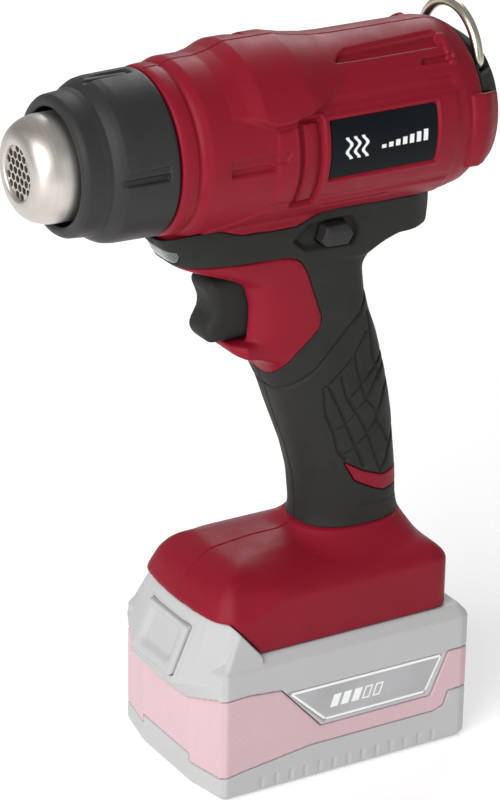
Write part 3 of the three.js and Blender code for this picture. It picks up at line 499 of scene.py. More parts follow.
def moulded(name, low, high, field, most=170000, step=None):
    """Closed skin of a field of signed distances, with its normals taken from the field."""
    step = (step or sizes().voxel / MM) * 1
    s = Samples(low, high, step)
    reach = 4 * step
    distance = np.broadcast_to(field(s), s.shape)
    distance = np.ascontiguousarray(np.clip(distance, -reach, reach), dtype=np.float32)
    grid = openvdb.FloatGrid(reach)
    grid.copyFromArray(distance)
    points, _, quads = grid.convertToPolygons(isovalue=0.0, adaptivity=0.0)
    if not len(quads):
        raise RuntimeError(f"{name} has no skin")
    obj = mesh_object(name, s.low + points * step, quads)
    if 2 * len(quads) > most:
        thin = obj.modifiers.new("thin", "DECIMATE")
        thin.ratio = most / (2 * len(quads))
        settled(obj)
    mesh = obj.data
    co = np.zeros(3 * len(mesh.vertices), np.float32)
    mesh.vertices.foreach_get("co", co)
    places = (co.reshape(-1, 3) / MM - s.low) / step
    mesh.polygons.foreach_set("use_smooth", np.ones(len(mesh.polygons), bool))
    mesh.normals_split_custom_set_from_vertices(field_normals(distance, places).tolist())
    return obj


def finished(obj, material, body, slot, *nodes):
    """Gives a piece its finish, its body and the frame nodes that it stands for."""
    obj.data.materials.clear()
    obj.data.materials.append(material)
    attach(obj, body)
    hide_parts(*nodes)
    return obj


def lathe(name, profile, around=96):
    """Smooth closed solid of revolution about the barrel's axis."""
    turn = 2 * math.pi * np.arange(around) / around
    points = [(x, r * math.cos(t), AXIS_Z + r * math.sin(t)) for x, r in profile for t in turn]
    count = len(profile)
    faces = []
    for i in range(count):
        j = (i + 1) % count
        for k in range(around):
            m = (k + 1) % around
            faces.append((i * around + k, i * around + m, j * around + m, j * around + k))
    return mesh_object(name, points, faces)


def shade_smooth(obj, degrees=35):
    obj.data.polygons.foreach_set("use_smooth", np.ones(len(obj.data.polygons), bool))
    obj.data.set_sharp_from_angle(angle=math.radians(degrees))
    return obj


# ------------------------------------------------------------------ housing forms
def eased(stations, z, spread=1.6):
    """Columns of a station table at heights z, smoothed so that the skin has no facets."""
    stations = np.array(stations, float)
    fine = np.arange(stations[0, 0] - 12, stations[-1, 0] + 12, 0.5)
    bell = np.exp(-0.5 * (np.arange(-12, 13) * 0.5 / spread) ** 2)
    bell /= bell.sum()
    made = []
    for column in range(1, stations.shape[1]):
        values = np.interp(fine, stations[:, 0], stations[:, column])
        values = np.convolve(np.pad(values, 12, "edge"), bell, "valid")
        made.append(np.interp(z, fine, values).astype(np.float32))
    return made


def neck_distance(s):
    """Neck and grip with the wing under the barrel and the lip under the trigger."""
    front, rear, half, power = eased(NECK, s.z)
    middle, reach = (front + rear) / 2, (rear - front) / 2
    u, v = np.abs((s.x - middle) / reach) + 1e-4, np.abs(s.y / half) + 1e-4
    total = u**power + v**power
    size = total ** (1 / power)
    slope = np.sqrt((u ** (power - 1) / reach) ** 2 + (v ** (power - 1) / half) ** 2)
    level = (size - 1) / np.maximum(slope * size / total, 1e-4)
    wing = rounded_max(side_view(s, filleted(WING, 1.4)), plan_view(s, filleted(WING_PLAN, 5.0)), 1.2)
    level = rounded_min(level, wing, 2.0)
    narrowing = 0.9 * np.maximum(-34 - s.x, 0)
    lip = rounded_max(side_view(s, filleted(TRIGGER_LIP, 2.0)), np.abs(s.y) - 15.5 + narrowing, 3.0)
    level = rounded_min(level, lip, 2.0)
    return np.maximum(level, np.maximum(NECK_LOW_Z - s.z, s.z - NECK_TOP_Z)).astype(np.float32)


def grip_relief(s):
    """Depth of the grooves in the rubber, seen from the side."""
    x, z = s.x[:, 0, :], s.z[0]
    nearest = run_distance(GRIP_SEAM, x, z)
    for run in GRIP_GROOVES:
        nearest = np.minimum(nearest, run_distance(run, x, z))
    depth = sizes().groove / MM * np.exp(-((nearest / 0.62) ** 2))
    edge = 0.5 * plateau(np.abs(z - (101.5 - 0.05 * x)) - 0.2, 0.8) * (x > 16)
    return (depth + edge)[:, None, :] + lock_bed(s)


def lock_bed(s):
    """Depth of the dish round the lock bolt."""
    return LOCK_DISH_DEPTH * plateau(side_view(s, LOCK_DISH), LOCK_DISH_DEPTH)


def foot_distance(s, inset=0.0):
    """Foot over the pack, whose bonnet rises from its edge to the grip."""
    plan = filleted(FOOT_PLAN + [(x, -y) for x, y in FOOT_PLAN[-2:0:-1]], 3.5, 5)
    edge = outline_distance(plan, s.x[:, :, 0], s.y[0].T) + inset
    inward = np.maximum(-edge, 0)
    front = np.clip((-26 - s.x[:, :, 0]) / 18, 0, 1)
    front = front * front * (3 - 2 * front)
    top = front * soft_table(FOOT_FRONT, inward, 3.0) + (1 - front) * soft_table(FOOT_SIDE, inward, 1.4)
    top = blurred(top, s.step, 3.5)[:, :, None] - inset * 0.8
    walls = rounded_max(edge[:, :, None], (s.z - top) * 0.8, 1.4)
    return np.maximum(walls, FOOT_BASE_Z - (1 if inset else 0) - s.z)


def barrel_relief(x, degrees):
    """Height of the barrel's skin over its turned profile, for x against degrees."""
    arc = degrees * ARC

    def where(corners):
        return outline_distance([(cx, ca * ARC) for cx, ca in corners], x, arc)

    def band(x0, x1, a0, a1):
        return where([(x0, a0), (x1, a0), (x1, a1), (x0, a1)])

    relief = table(HUMP_PROFILE, x) * plateau(where(HUMP), 1.8)
    for height, width, corners in BROAD_RELIEFS:
        relief = relief + height * plateau(where(corners), width)
    slot, pocket = band(*VENT_SLOT), band(*LABEL_POCKET)
    relief = relief * (1 - plateau(slot - 0.6, 0.8)) - 1.9 * plateau(slot, 0.9)
    relief = relief + 1.55 * plateau(band(*VENT_BAR), 0.8)
    relief = relief + 0.45 * plateau(np.abs(slot - 1) - 0.45, 0.7)
    relief = relief - 1.45 * plateau(pocket, 0.7) + 0.3 * plateau(np.abs(pocket - 1.1) - 0.4, 0.9)
    for height, width, corners in FINE_RELIEFS:
        relief = relief + height * plateau(where(corners), width)
    return relief.astype(np.float32)


def barrel_distance(s, side):
    """Barrel, its hump, reliefs and rear pads, on one side."""
    radius, angle = axis_distance(s), level_angle(s, side * s.y)
    step = 0.25
    degrees = np.arange(-180 - step, 181, step, dtype=np.float32)
    folded = np.where(degrees > 90, 180 - degrees, np.where(degrees < -90, -180 - degrees, degrees))
    relief = barrel_relief(s.x[:, :, 0], folded[None, :])
    height = read_columns(relief, (angle[0] - degrees[0]) / step)
    surface = radius - table(BARREL_PROFILE, s.x) - height
    ends = np.maximum(BARREL_FRONT - s.x, s.x - BARREL_REAR)
    barrel = rounded_max(surface, ends, 0.8)
    pad_face = radius - table(SIDE_PAD_PROFILE, s.x)
    pad = np.maximum(rounded_max(sector(s, angle, 50.4, 64.6, -33, 20), pad_face, 1.2), 24.6 - radius)
    return np.minimum(barrel, pad)


def window_cut(s):
    """Opening that the trigger stands in."""
    return np.maximum(side_view(s, TRIGGER_WINDOW), np.abs(s.y) - TRIGGER_WINDOW_HALF_W)


def lens_block(s):
    """Space that the lamp's lens takes up under the nose."""
    return np.maximum(side_view(s, filleted(LENS, LENS_CORNER)), np.abs(s.y) - LENS_HALF_W)


def rubber_outline(s):
    return side_view(s, filleted(OVERMOULD, OVERMOULD_CORNER))


def housing_hollow(s, neck):
    """Space inside the barrel, its mouth, the grip and the foot."""
    radius = axis_distance(s)
    inside = np.maximum(radius - BARREL_BORE_R, np.maximum(-67.5 - s.x, s.x - 60))
    mouth = np.maximum(radius - MOUTH_R, np.maximum(-90 - s.x, s.x + 60))
    return np.minimum(np.minimum(inside, mouth), np.minimum(neck + GRIP_WALL, foot_distance(s, 3.0)))


def housing_field(side):
    """One half of the clamshell: its skin, hollow, screw posts, pack rails and cut-outs."""

    def field(s):
        edge = sizes().edge / MM
        neck, foot = neck_distance(s), foot_distance(s)
        bare = neck + (SKIN + GAP) * plateau(rubber_outline(s), 0.3) + lock_bed(s)
        outer = rounded_min(rounded_min(bare, foot, FOOT_FILLET), barrel_distance(s, side), BARREL_FILLET)
        shell = np.maximum(outer, -housing_hollow(s, neck))
        posts = np.full(s.shape, 1e3, np.float32)
        for x, z, _ in HOUSING_SCREWS:
            posts = np.minimum(posts, np.hypot(s.x - x, s.z - z) - SCREW_POST_R)
        posts = np.maximum(posts, outer + 0.4)
        rails = np.maximum(block(s, -34, 46, *sorted((side * 15, side * 32)), FOOT_BASE_Z, 60.6), foot)
        made = np.minimum(np.minimum(shell, posts), np.minimum(rails, turned(s, SPIGOT)))
        lock = np.broadcast_to(side_view(s, LOCK) - 0.4, s.shape)
        lamp = block(s, -60, -56.4, -6.6, 6.6, 213.4, 221.6)
        for cut in (side_view(s, FOOT_NOSE_CUT), lens_block(s) - GAP, window_cut(s), lock, lamp):
            made = rounded_max(made, -cut, edge * 0.5)
        if side > 0:
            for x, z, top in HOUSING_SCREWS:
                post = np.hypot(s.x - x, s.z - z)
                well = np.maximum(post - SCREW_WELL_R, top - 2.6 - s.y)
                bore = np.maximum(post - SCREW_BORE_R, -8 - s.y)
                made = rounded_max(made, -np.minimum(well, bore), 0.3)
        return rounded_max(made, PARTING - side * s.y, 0.25)

    return field


def rubber_field(side):
    """Soft skin over one half of the grip."""

    def field(s):
        edge = sizes().edge / MM
        neck = neck_distance(s)
        skin = rounded_max(neck + grip_relief(s), rubber_outline(s), edge)
        made = np.maximum(skin, -(neck + SKIN + lock_bed(s)))
        barrel_clear = np.where(np.abs(s.x + 10) < 80, axis_distance(s) - BARREL_R - 0.35, 1)
        inlay = side_view(s, ACCENT) - GAP
        for cut in (barrel_clear, lens_block(s) - GAP, inlay, window_cut(s), side_view(s, LOCK) - 0.4):
            made = rounded_max(made, -cut, edge * 0.6)
        if side > 0:
            for x, z, top in HOUSING_SCREWS:
                well = np.maximum(np.hypot(s.x - x, s.z - z) - SCREW_WELL_R, top - 2.6 - s.y)
                made = rounded_max(made, -well, 0.4)
        return rounded_max(made, PARTING - side * s.y, 0.3)

    return field


def accent_field(side):
    """Inlay at the back of one half of the grip."""

    def field(s):
        neck = neck_distance(s)
        made = np.maximum(rounded_max(neck - 0.1, side_view(s, ACCENT), 0.5), -(neck + SKIN))
        return np.maximum(made, 3 - side * s.y)

    return field


def both_sides(label, low, high, field_of, material, slot, node, **how):
    """Left and right pieces from one field."""
    for name, side in SIDES:
        y0, y1 = sorted((0.0, side * high[1]))
        obj = moulded(f"{name}_{label}", (low[0], y0, low[2]), (high[0], y1, high[2]), field_of(side), **how)
        finished(obj, material, "housing", slot, f"{name}_{node}")


# ------------------------------------------------------------------ materials
def feed(tree, socket, value):
    """Links an output to a socket, or sets the socket's constant."""
    if isinstance(value, bpy.types.NodeSocket):
        tree.links.new(value, socket)
    elif socket.type == "RGBA":
        socket.default_value = (*value, 1.0)
    else:
        socket.default_value = value


def feed_all(tree, node, **values):
    """Feeds a node's sockets by name."""
    for label, value in values.items():
        feed(tree, node.inputs[label.replace("_", " ")], value)
    return node


def group_tree(name, inputs, outputs):
    """Empty shader group with its sockets."""
    tree = bpy.data.node_groups.new(name, "ShaderNodeTree")
    for label, kind, default in inputs:
        socket = tree.interface.new_socket(label, in_out="INPUT", socket_type=kind)
        if default is not None:
            socket.default_value = default
    for label, kind in outputs:
        tree.interface.new_socket(label, in_out="OUTPUT", socket_type=kind)
    start, end = tree.nodes.new("NodeGroupInput"), tree.nodes.new("NodeGroupOutput")
    return tree, start.outputs, end.inputs


def math_node(tree, operation, *values):
    node = tree.nodes.new("ShaderNodeMath")
    node.operation = operation
    for socket, value in zip(node.inputs, values):
        feed(tree, socket, value)
    return node.outputs[0]


def noise_node(tree, vector, scale, detail=2.0, roughness=0.5):
    node = tree.nodes.new("ShaderNodeTexNoise")
    feed_all(tree, node, Vector=vector, Scale=scale, Detail=detail, Roughness=roughness)
    return node.outputs["Fac"]


def spread(tree, value, low, high, to_low, to_high):
    """A value's range mapped to another range."""
    node = tree.nodes.new("ShaderNodeMapRange")
    feed_all(tree, node, Value=value, From_Min=low, From_Max=high, To_Min=to_low, To_Max=to_high)
    return node.outputs["Result"]


def mixed(tree, share, a, b):
    node = tree.nodes.new("ShaderNodeMix")
    node.data_type = "RGBA"
    for socket, value in ((node.inputs[0], share), (node.inputs[6], a), (node.inputs[7], b)):
        feed(tree, socket, value)
    return node.outputs[2]


def scaled(tree, colour_in, factor):
    node = tree.nodes.new("ShaderNodeVectorMath")
    node.operation = "SCALE"
    feed(tree, node.inputs[0], colour_in)
    feed(tree, node.inputs["Scale"], factor)
    return node.outputs[0]


def moulding_group():
    """Spark-eroded mould texture: grain height, tone drift, handling marks and settled dust."""
    name = "moulded_surface"
    if name in bpy.data.node_groups:
        return bpy.data.node_groups[name]
    tree, given, result = group_tree(
        name,
        [("Vector", "NodeSocketVector", None), ("Colour", "NodeSocketColor", None),
         ("Grain Scale", "NodeSocketFloat", 1400.0), ("Tone Drift", "NodeSocketFloat", 0.08),
         ("Roughness Low", "NodeSocketFloat", 0.4), ("Roughness High", "NodeSocketFloat", 0.55)],
        [("Colour", "NodeSocketColor"), ("Roughness", "NodeSocketFloat"), ("Height", "NodeSocketFloat")])
    vector = given["Vector"]
    grain = noise_node(tree, vector, given["Grain Scale"], 3.0, 0.6)
    drift = noise_node(tree, vector, 26.0, 3.0, 0.55)
    smudge = noise_node(tree, vector, 75.0, 4.0, 0.62)
    fine = noise_node(tree, vector, 420.0, 2.0, 0.5)
    tone = spread(tree, drift, 0.3, 0.7, math_node(tree, "SUBTRACT", 1.0, given["Tone Drift"]),
                  math_node(tree, "ADD", 1.0, given["Tone Drift"]))
    light = math_node(tree, "MULTIPLY", given["Tone Drift"], 0.4)
    fleck = spread(tree, fine, 0.35, 0.65, math_node(tree, "SUBTRACT", 1.0, light),
                   math_node(tree, "ADD", 1.0, light))
    shade = math_node(tree, "MULTIPLY", tone, fleck)
    tree.links.new(scaled(tree, given["Colour"], shade), result["Colour"])
    tree.links.new(spread(tree, smudge, 0.35, 0.68, given["Roughness Low"], given["Roughness High"]),
                   result["Roughness"])
    tree.links.new(math_node(tree, "MULTIPLY_ADD", fine, 0.35, grain), result["Height"])
    return tree


def finish(name, wire_up):
    """Material of that name, wired up the first time that it is asked for."""
    name += "_finish"
    if name not in bpy.data.materials:
        material = bpy.data.materials.new(name)
        material.use_nodes = True
        tree = material.node_tree
        place = tree.nodes.new("ShaderNodeTexCoord").outputs["Object"]
        wire_up(tree, tree.nodes["Principled BSDF"], place)
    return bpy.data.materials[name]


def group_node(tree, group, **values):
    """Node that holds a shared group, with its sockets fed."""
    node = tree.nodes.new("ShaderNodeGroup")
    node.node_tree = group
    return feed_all(tree, node, **values)


def bump(tree, height, strength, depth):
    node = tree.nodes.new("ShaderNodeBump")
    feed_all(tree, node, Strength=strength, Distance=depth, Height=height)
    return node.outputs["Normal"]


def moulding(name, tint, rough=(0.42, 0.56), grain=1400.0, depth=0.00006, drift=0.08, specular=0.5):
    """Moulded plastic or rubber."""

    def wire_up(tree, shader, place):
        surface = group_node(
            tree, moulding_group(), Vector=place, Colour=tint, Grain_Scale=grain, Tone_Drift=drift,
            Roughness_Low=rough[0], Roughness_High=rough[1]).outputs
        feed_all(
            tree, shader, Base_Color=surface["Colour"], Roughness=surface["Roughness"],
            Normal=bump(tree, surface["Height"], 0.5, depth), Specular_IOR_Level=specular)

    return finish(name, wire_up)


def metal_group():
    """Brushed metal: fine lines round the barrel's axis or along it, and faint stains."""
    name = "brushed_metal"
    if name in bpy.data.node_groups:
        return bpy.data.node_groups[name]
    tree, given, result = group_tree(
        name,
        [("Vector", "NodeSocketVector", None), ("Colour", "NodeSocketColor", None),
         ("Stain", "NodeSocketColor", None), ("Stain Amount", "NodeSocketFloat", 0.2),
         ("Roughness", "NodeSocketFloat", 0.25)],
        [("Colour", "NodeSocketColor"), ("Roughness", "NodeSocketFloat"), ("Height", "NodeSocketFloat")])
    stretch = tree.nodes.new("ShaderNodeMapping")
    stretch.inputs["Scale"].default_value = (60.0, 1.5, 1.5)
    tree.links.new(given["Vector"], stretch.inputs["Vector"])
    lines = noise_node(tree, stretch.outputs[0], 60.0, 3.0, 0.6)
    stain = noise_node(tree, given["Vector"], 90.0, 4.0, 0.6)
    share = math_node(tree, "MULTIPLY", spread(tree, stain, 0.4, 0.7, 0.0, 1.0), given["Stain Amount"])
    stained = mixed(tree, share, given["Colour"], given["Stain"])
    tree.links.new(scaled(tree, stained, spread(tree, lines, 0.3, 0.7, 0.86, 1.08)), result["Colour"])
    tree.links.new(math_node(tree, "MULTIPLY_ADD", lines, 0.26, given["Roughness"]), result["Roughness"])
    tree.links.new(lines, result["Height"])
    return tree


def heat_tint(tree, place, tint, ends):
    """Straw and brown that fade into the plain metal, between two places along X."""
    apart = tree.nodes.new("ShaderNodeSeparateXYZ")
    tree.links.new(place, apart.inputs[0])
    wobble = math_node(tree, "MULTIPLY_ADD", noise_node(tree, place, 55.0, 2.0), 0.006, apart.outputs["X"])
    ramp = tree.nodes.new("ShaderNodeValToRGB")
    tree.links.new(spread(tree, wobble, *ends, 0.0, 1.0), ramp.inputs[0])
    stops = [(0.0, (0.36, 0.33, 0.31)), (0.3, (0.62, 0.5, 0.4)), (0.5, (0.74, 0.66, 0.52)), (1.0, tint)]
    while len(ramp.color_ramp.elements) < len(stops):
        ramp.color_ramp.elements.new(0.5)
    for element, (at, shade) in zip(ramp.color_ramp.elements, stops):
        element.position, element.color = at, (*shade, 1.0)
    return ramp.outputs[0]


def metal(name, tint, stain, amount=0.2, rough=0.22, heat=None):
    """Metal finish. heat holds the two places along X, in metres, between which a heat tint fades out."""

    def wire_up(tree, shader, place):
        surface = group_node(
            tree, metal_group(), Vector=place, Colour=tint, Stain=stain, Stain_Amount=amount, Roughness=rough).outputs
        paint = surface["Colour"]
        if heat:
            paint = mixed(tree, 0.35, paint, heat_tint(tree, place, tint, heat))
        feed_all(
            tree, shader, Base_Color=paint, Roughness=surface["Roughness"],
            Normal=bump(tree, surface["Height"], 0.25, 0.00002), Metallic=1.0)

    return finish(name, wire_up)


def shell_red():
    return moulding("shell_red", tuple(colours().shell), (0.42, 0.54), 1500.0, 0.00007, 0.05, 0.15)


def grip_rubber():
    return moulding("grip_rubber", tuple(colours().grip), (0.56, 0.72), 1900.0, 0.00009, 0.08, 0.22)


def guard_plastic():
    return moulding("guard_plastic", tuple(colours().guard), (0.44, 0.58), 1300.0, 0.00008, 0.06, 0.28)


def pack_plastic():
    return moulding("pack_plastic", tuple(colours().pack), (0.46, 0.56), 1300.0, 0.00002, 0.012, 0.3)


def pack_band_plastic():
    return moulding("pack_band_plastic", tuple(colours().band), (0.46, 0.56), 1300.0, 0.00003, 0.02, 0.3)


def dark_steel():
    return metal("dark_steel", (0.09, 0.09, 0.09), (0.16, 0.14, 0.12), 0.4, 0.32)


def within(tree, value, low, top, soft=0.00012):
    """1 between two limits, with soft ends."""
    rise = spread(tree, value, low - soft, low + soft, 0.0, 1.0)
    fall = spread(tree, value, top - soft, top + soft, 1.0, 0.0)
    return math_node(tree, "MULTIPLY", rise, fall)


def printed(tree, shader, place, film, mark, drift, rough, rough_scale):
    """Film of one colour with printed marks, each a little uneven in tone and shine."""
    tone = spread(tree, noise_node(tree, place, 60.0, 3.0), 0.3, 0.7, 1 - drift, 1 + drift)
    shine = spread(tree, noise_node(tree, place, rough_scale, 3.0), 0.3, 0.7, *rough)
    feed_all(
        tree, shader, Base_Color=mixed(tree, mark, scaled(tree, film, tone), tuple(colours().mark)), Roughness=shine)


def label_material():
    """Dark film printed with three rising heat waves and a level scale."""

    def wire_up(tree, shader, place):
        apart = tree.nodes.new("ShaderNodeSeparateXYZ")
        tree.links.new(place, apart.inputs[0])
        x = apart.outputs["X"]
        high = math_node(tree, "SUBTRACT", apart.outputs["Z"], AXIS_Z * MM)
        wave = math_node(tree, "SINE", math_node(tree, "MULTIPLY", high, 1150.0))
        sway = math_node(tree, "MULTIPLY", wave, 0.0009)
        marks = []
        for centre in (-0.0034, 0.0000, 0.0034):
            off = math_node(tree, "SUBTRACT", math_node(tree, "SUBTRACT", x, centre), sway)
            marks.append(math_node(
                tree, "MULTIPLY", within(tree, off, -0.0007, 0.0007), within(tree, high, -0.0042, 0.0042)))
        for i in range(7):
            left = 0.0105 + 0.0030 * i
            bar = within(tree, x, left, left + 0.0019)
            marks.append(math_node(tree, "MULTIPLY", bar, within(tree, high, -0.0022, -0.0008 + 0.0005 * i)))
        total = marks[0]
        for mark in marks[1:]:
            total = math_node(tree, "MAXIMUM", total, mark)
        printed(tree, shader, place, tuple(colours().label), total, 0.15, (0.3, 0.42), 130.0)
        shader.inputs["Specular IOR Level"].default_value = 0.1

    return finish("label_film", wire_up)


def pack_label_material():
    """Pale film with a white border and a row of charge marks, of which three are filled."""

    def wire_up(tree, shader, place):
        apart = tree.nodes.new("ShaderNodeSeparateXYZ")
        tree.links.new(place, apart.inputs[0])
        x, z = apart.outputs["X"], apart.outputs["Z"]
        # distance in from the nearest of the four sides
        corners = [(cx * MM, cz * MM) for cx, cz in PACK_LABEL]
        nearest = None
        for (x0, z0), (x1, z1) in zip(corners, corners[1:] + corners[:1]):
            length = math.hypot(x1 - x0, z1 - z0)
            a, b = -(z1 - z0) / length, (x1 - x0) / length
            along = math_node(tree, "MULTIPLY_ADD", x, a, -(a * x0 + b * z0))
            here = math_node(tree, "MULTIPLY_ADD", z, b, along)
            nearest = here if nearest is None else math_node(tree, "MINIMUM", nearest, here)
        marks = spread(tree, nearest, 0.0008, 0.0011, 1.0, 0.0)
        slant = math_node(tree, "MULTIPLY_ADD", z, -0.35, x)
        rise = math_node(tree, "ABSOLUTE", math_node(tree, "SUBTRACT", z, 0.0318))
        for i in range(5):
            across = math_node(tree, "ABSOLUTE", math_node(tree, "SUBTRACT", slant, -0.0168 + 0.0048 * i))
            off = math_node(
                tree, "MAXIMUM", math_node(tree, "SUBTRACT", across, 0.0017), math_node(tree, "SUBTRACT", rise, 0.0026))
            if i < 3:
                mark = spread(tree, off, -0.0001, 0.0001, 1.0, 0.0)
            else:
                line = math_node(tree, "ABSOLUTE", math_node(tree, "ADD", off, 0.0003))
                mark = spread(tree, line, 0.0002, 0.0004, 1.0, 0.0)
            marks = math_node(tree, "MAXIMUM", marks, mark)
        printed(tree, shader, place, (0.40, 0.40, 0.41), marks, 0.1, (0.35, 0.48), 150.0)

    return finish("pack_label_film", wire_up)


def lens_material():
    """Frosted clear lens."""

    def wire_up(tree, shader, place):
        frost = noise_node(tree, place, 900.0, 2.0)
        cloud = spread(tree, noise_node(tree, place, 120.0, 2.0), 0.3, 0.7, 0.0, 1.0)
        feed_all(
            tree, shader, Roughness=spread(tree, frost, 0.3, 0.7, 0.12, 0.24),
            Base_Color=mixed(tree, cloud, (0.1, 0.11, 0.115), (0.24, 0.25, 0.255)),
            Transmission_Weight=0.35, IOR=1.49, Coat_Weight=0.6)

    return finish("lamp_lens", wire_up)


def board_material():
    """Solder-masked circuit board with faint copper runs."""

    def wire_up(tree, shader, place):
        brick = feed_all(
            tree, tree.nodes.new("ShaderNodeTexBrick"), Vector=place, Scale=160.0, Color1=(0.012, 0.11, 0.045),
            Color2=(0.016, 0.14, 0.055), Mortar=(0.05, 0.22, 0.09))
        shine = spread(tree, noise_node(tree, place, 300.0), 0.3, 0.7, 0.3, 0.45)
        feed_all(tree, shader, Base_Color=brick.outputs["Color"], Roughness=shine)

    return finish("circuit_board", wire_up)


# ------------------------------------------------------------------ other pieces' forms
def label_plate(name, x0, x1, low_deg, high_deg, side, corner=1.4, front=0.12, back=0.75):
    """Thin film that follows the barrel's side, with rounded corners."""
    outline = []
    middle_x, middle_a = (x0 + x1) / 2, (low_deg + high_deg) / 2 * ARC
    half_x, half_a = (x1 - x0) / 2 - corner, (high_deg - low_deg) / 2 * ARC - corner
    for k, (sx, sa) in enumerate(((1, 1), (-1, 1), (-1, -1), (1, -1))):
        for i in range(7):
            t = math.pi / 2 * (k + i / 6)
            u = middle_x + sx * half_x + corner * math.cos(t)
            outline.append((u, middle_a + sa * half_a + corner * math.sin(t)))
    made = bmesh.new()
    made.faces.new([made.verts.new((u, 0, v)) for u, v in outline])
    for i in range(-8, 9):
        v = middle_a + i * (half_a + corner) / 9
        whole = made.verts[:] + made.edges[:] + made.faces[:]
        bmesh.ops.bisect_plane(made, geom=whole, plane_co=(0, 0, v), plane_no=(0, 0, 1))
    flat = bmesh.ops.extrude_face_region(made, geom=made.faces[:])
    raised = {v for v in flat["geom"] if isinstance(v, bmesh.types.BMVert)}
    for vert in made.verts:
        radius = BARREL_R - (front if vert in raised else back)
        t = vert.co.z / BARREL_R
        vert.co = Vector((vert.co.x, side * radius * math.cos(t), AXIS_Z + radius * math.sin(t))) * MM
    return shade_smooth(from_bmesh(name, made), 30)


def pack_label_plate(name, side, front=37.9, back=37.4):
    """Flat film on the pack's side, with rounded corners."""
    made = bmesh.new()
    face = made.faces.new([made.verts.new((x * MM, side * back * MM, z * MM)) for x, z in PACK_LABEL])
    top = bmesh.ops.extrude_face_region(made, geom=[face])
    for vert in top["geom"]:
        if isinstance(vert, bmesh.types.BMVert):
            vert.co.y = side * front * MM
    upright = [e for e in made.edges if abs(e.verts[0].co.y - e.verts[1].co.y) > 1e-5]
    bmesh.ops.bevel(made, geom=upright, offset=0.001, segments=4, affect="EDGES")
    return from_bmesh(name, made)


def guard_field(s):
    """Collar with stepped finger slots at each quarter."""
    radius, turn = axis_distance(s), level_angle(s, -s.y)
    around = (turn - 3.5 + 45) % 90 - 45
    upper = np.maximum(sector(s, around, -95.5, -75.8, -0.5, 5), 29.7 - radius)
    lower = np.maximum(sector(s, around, -94.2, -75.8, -5, -0.5), 28.7 - radius)
    rim = 0.35 * plateau(np.abs(s.x + 96.6) - 0.3, 1.0)
    made = rounded_max(turned(s, HEAT_GUARD) + rim, -upper, 0.5)
    return rounded_max(made, -lower, 0.5)


def rear_cap_field(s):
    """Domed cap with cooling slots, leg slots for the ring and notches for the side pads."""
    outer, out = turned(s, CAP_OUTSIDE), np.abs(s.y)
    pivot = np.maximum(block(s, 57.3, 64.5, -15, 15, RING_Z - 4, RING_Z + 6), outer)
    made = np.minimum(rounded_max(outer, -turned(s, CAP_INSIDE), 0.4), pivot)
    for i in range(-2, 3):
        reach = 15 - 2 * abs(i)
        slot = block(s, 60, 80, 6 * i - 1.4, 6 * i + 1.4, AXIS_Z - 4 - reach, AXIS_Z - 4 + reach)
        made = rounded_max(made, -slot, 0.8)
    legs = np.maximum(np.maximum(15 - out, out - 21.9), RING_Z - 2.5 - s.z)
    made = rounded_max(made, -legs, 0.5)
    pin = np.maximum(np.hypot(s.x - RING_X, s.z - RING_Z) - WIRE_R - 0.2, 9 - out)
    notch = np.maximum(sector(s, level_angle(s, out), 50, 64.9, -33.5, 20.5), 24.3 - axis_distance(s))
    return rounded_max(np.maximum(made, -pin), -notch, 0.4)


def spring_bore(s, x, z, radius):
    """Bore along X from its blind end at x, open to the rear."""
    return np.maximum(np.hypot(s.y, s.z - z) - radius, x - s.x)


def trigger_field(s):
    """Trigger with soft flanks, a concave face that carries a round mark, and a bore for its spring."""
    made = rounded_max(side_view(s, filleted(TRIGGER, 1.6)), np.abs(s.y) - 8.2, 4.6)
    y, z = s.y, s.z - 189
    ring = plateau(np.abs(np.hypot(y, z) - 2.5) - 0.12, 0.45)
    bar = plateau(np.maximum(np.abs(y) - 0.2, np.abs(z) - 1.2), 0.45)
    made = made + 0.5 * np.maximum(ring, bar) * (s.x < -38)
    return np.maximum(made, -spring_bore(s, *TRIGGER_BORE))


def lock_field(s):
    """Cross bolt with faceted ends."""
    out = np.abs(s.y + 1.5)
    made = rounded_max(side_view(s, LOCK), np.maximum(-20.3 - s.y, s.y - 17.3), 1.1)
    facet = np.maximum(0.5 * (s.z - 215.5) + out - 19.6, -0.35 * (s.x + 2) + out - 18.9)
    return rounded_max(made, facet, 0.5)


def lens_field(s):
    return rounded_max(neck_distance(s) + 0.4, lens_block(s), 0.5)


def pack_plan():
    """Plan of the pack's case."""
    half = [
        (PACK_FRONT, 18), (-56, 36.4), (-54, PACK_HALF_W), (0, PACK_HALF_W), (PACK_REAR - 4.6, PACK_HALF_W),
        (PACK_REAR - 1.4, 36.6), (PACK_REAR, 33.4)]
    return [(x, -y) for x, y in half] + [(x, y) for x, y in reversed(half)]


def visor_distance(s):
    """Sloping front of the pack, between its root, its edge and the foot."""
    out, z = np.abs(s.y[0].T).ravel(), s.z[0]

    def line(rows):
        rows = np.array(rows, float)
        return (np.interp(out, rows[:, 0], rows[:, column])[:, None] for column in (1, 2))

    (root_x, root_z), (edge_x, edge_z), (top_x, top_z) = (line(r) for r in (VISOR_ROOT, VISOR_EDGE, VISOR_TOP))
    lower = np.clip((z - root_z) / (edge_z - root_z), 0, 1)
    upper = np.clip((z - edge_z) / (top_z - edge_z), 0, 1)
    front = root_x + lower * (edge_x - root_x) + upper * (top_x - edge_x)
    half = PACK_HALF_W - 4.6 * np.clip((z - 50) / 21, 0, 1)
    made = rounded_max((front[None] - s.x) * 0.88, np.abs(s.y) - half, 0.8)
    return rounded_max(made, side_view(s, VISOR_SIDE_VIEW), 0.5)


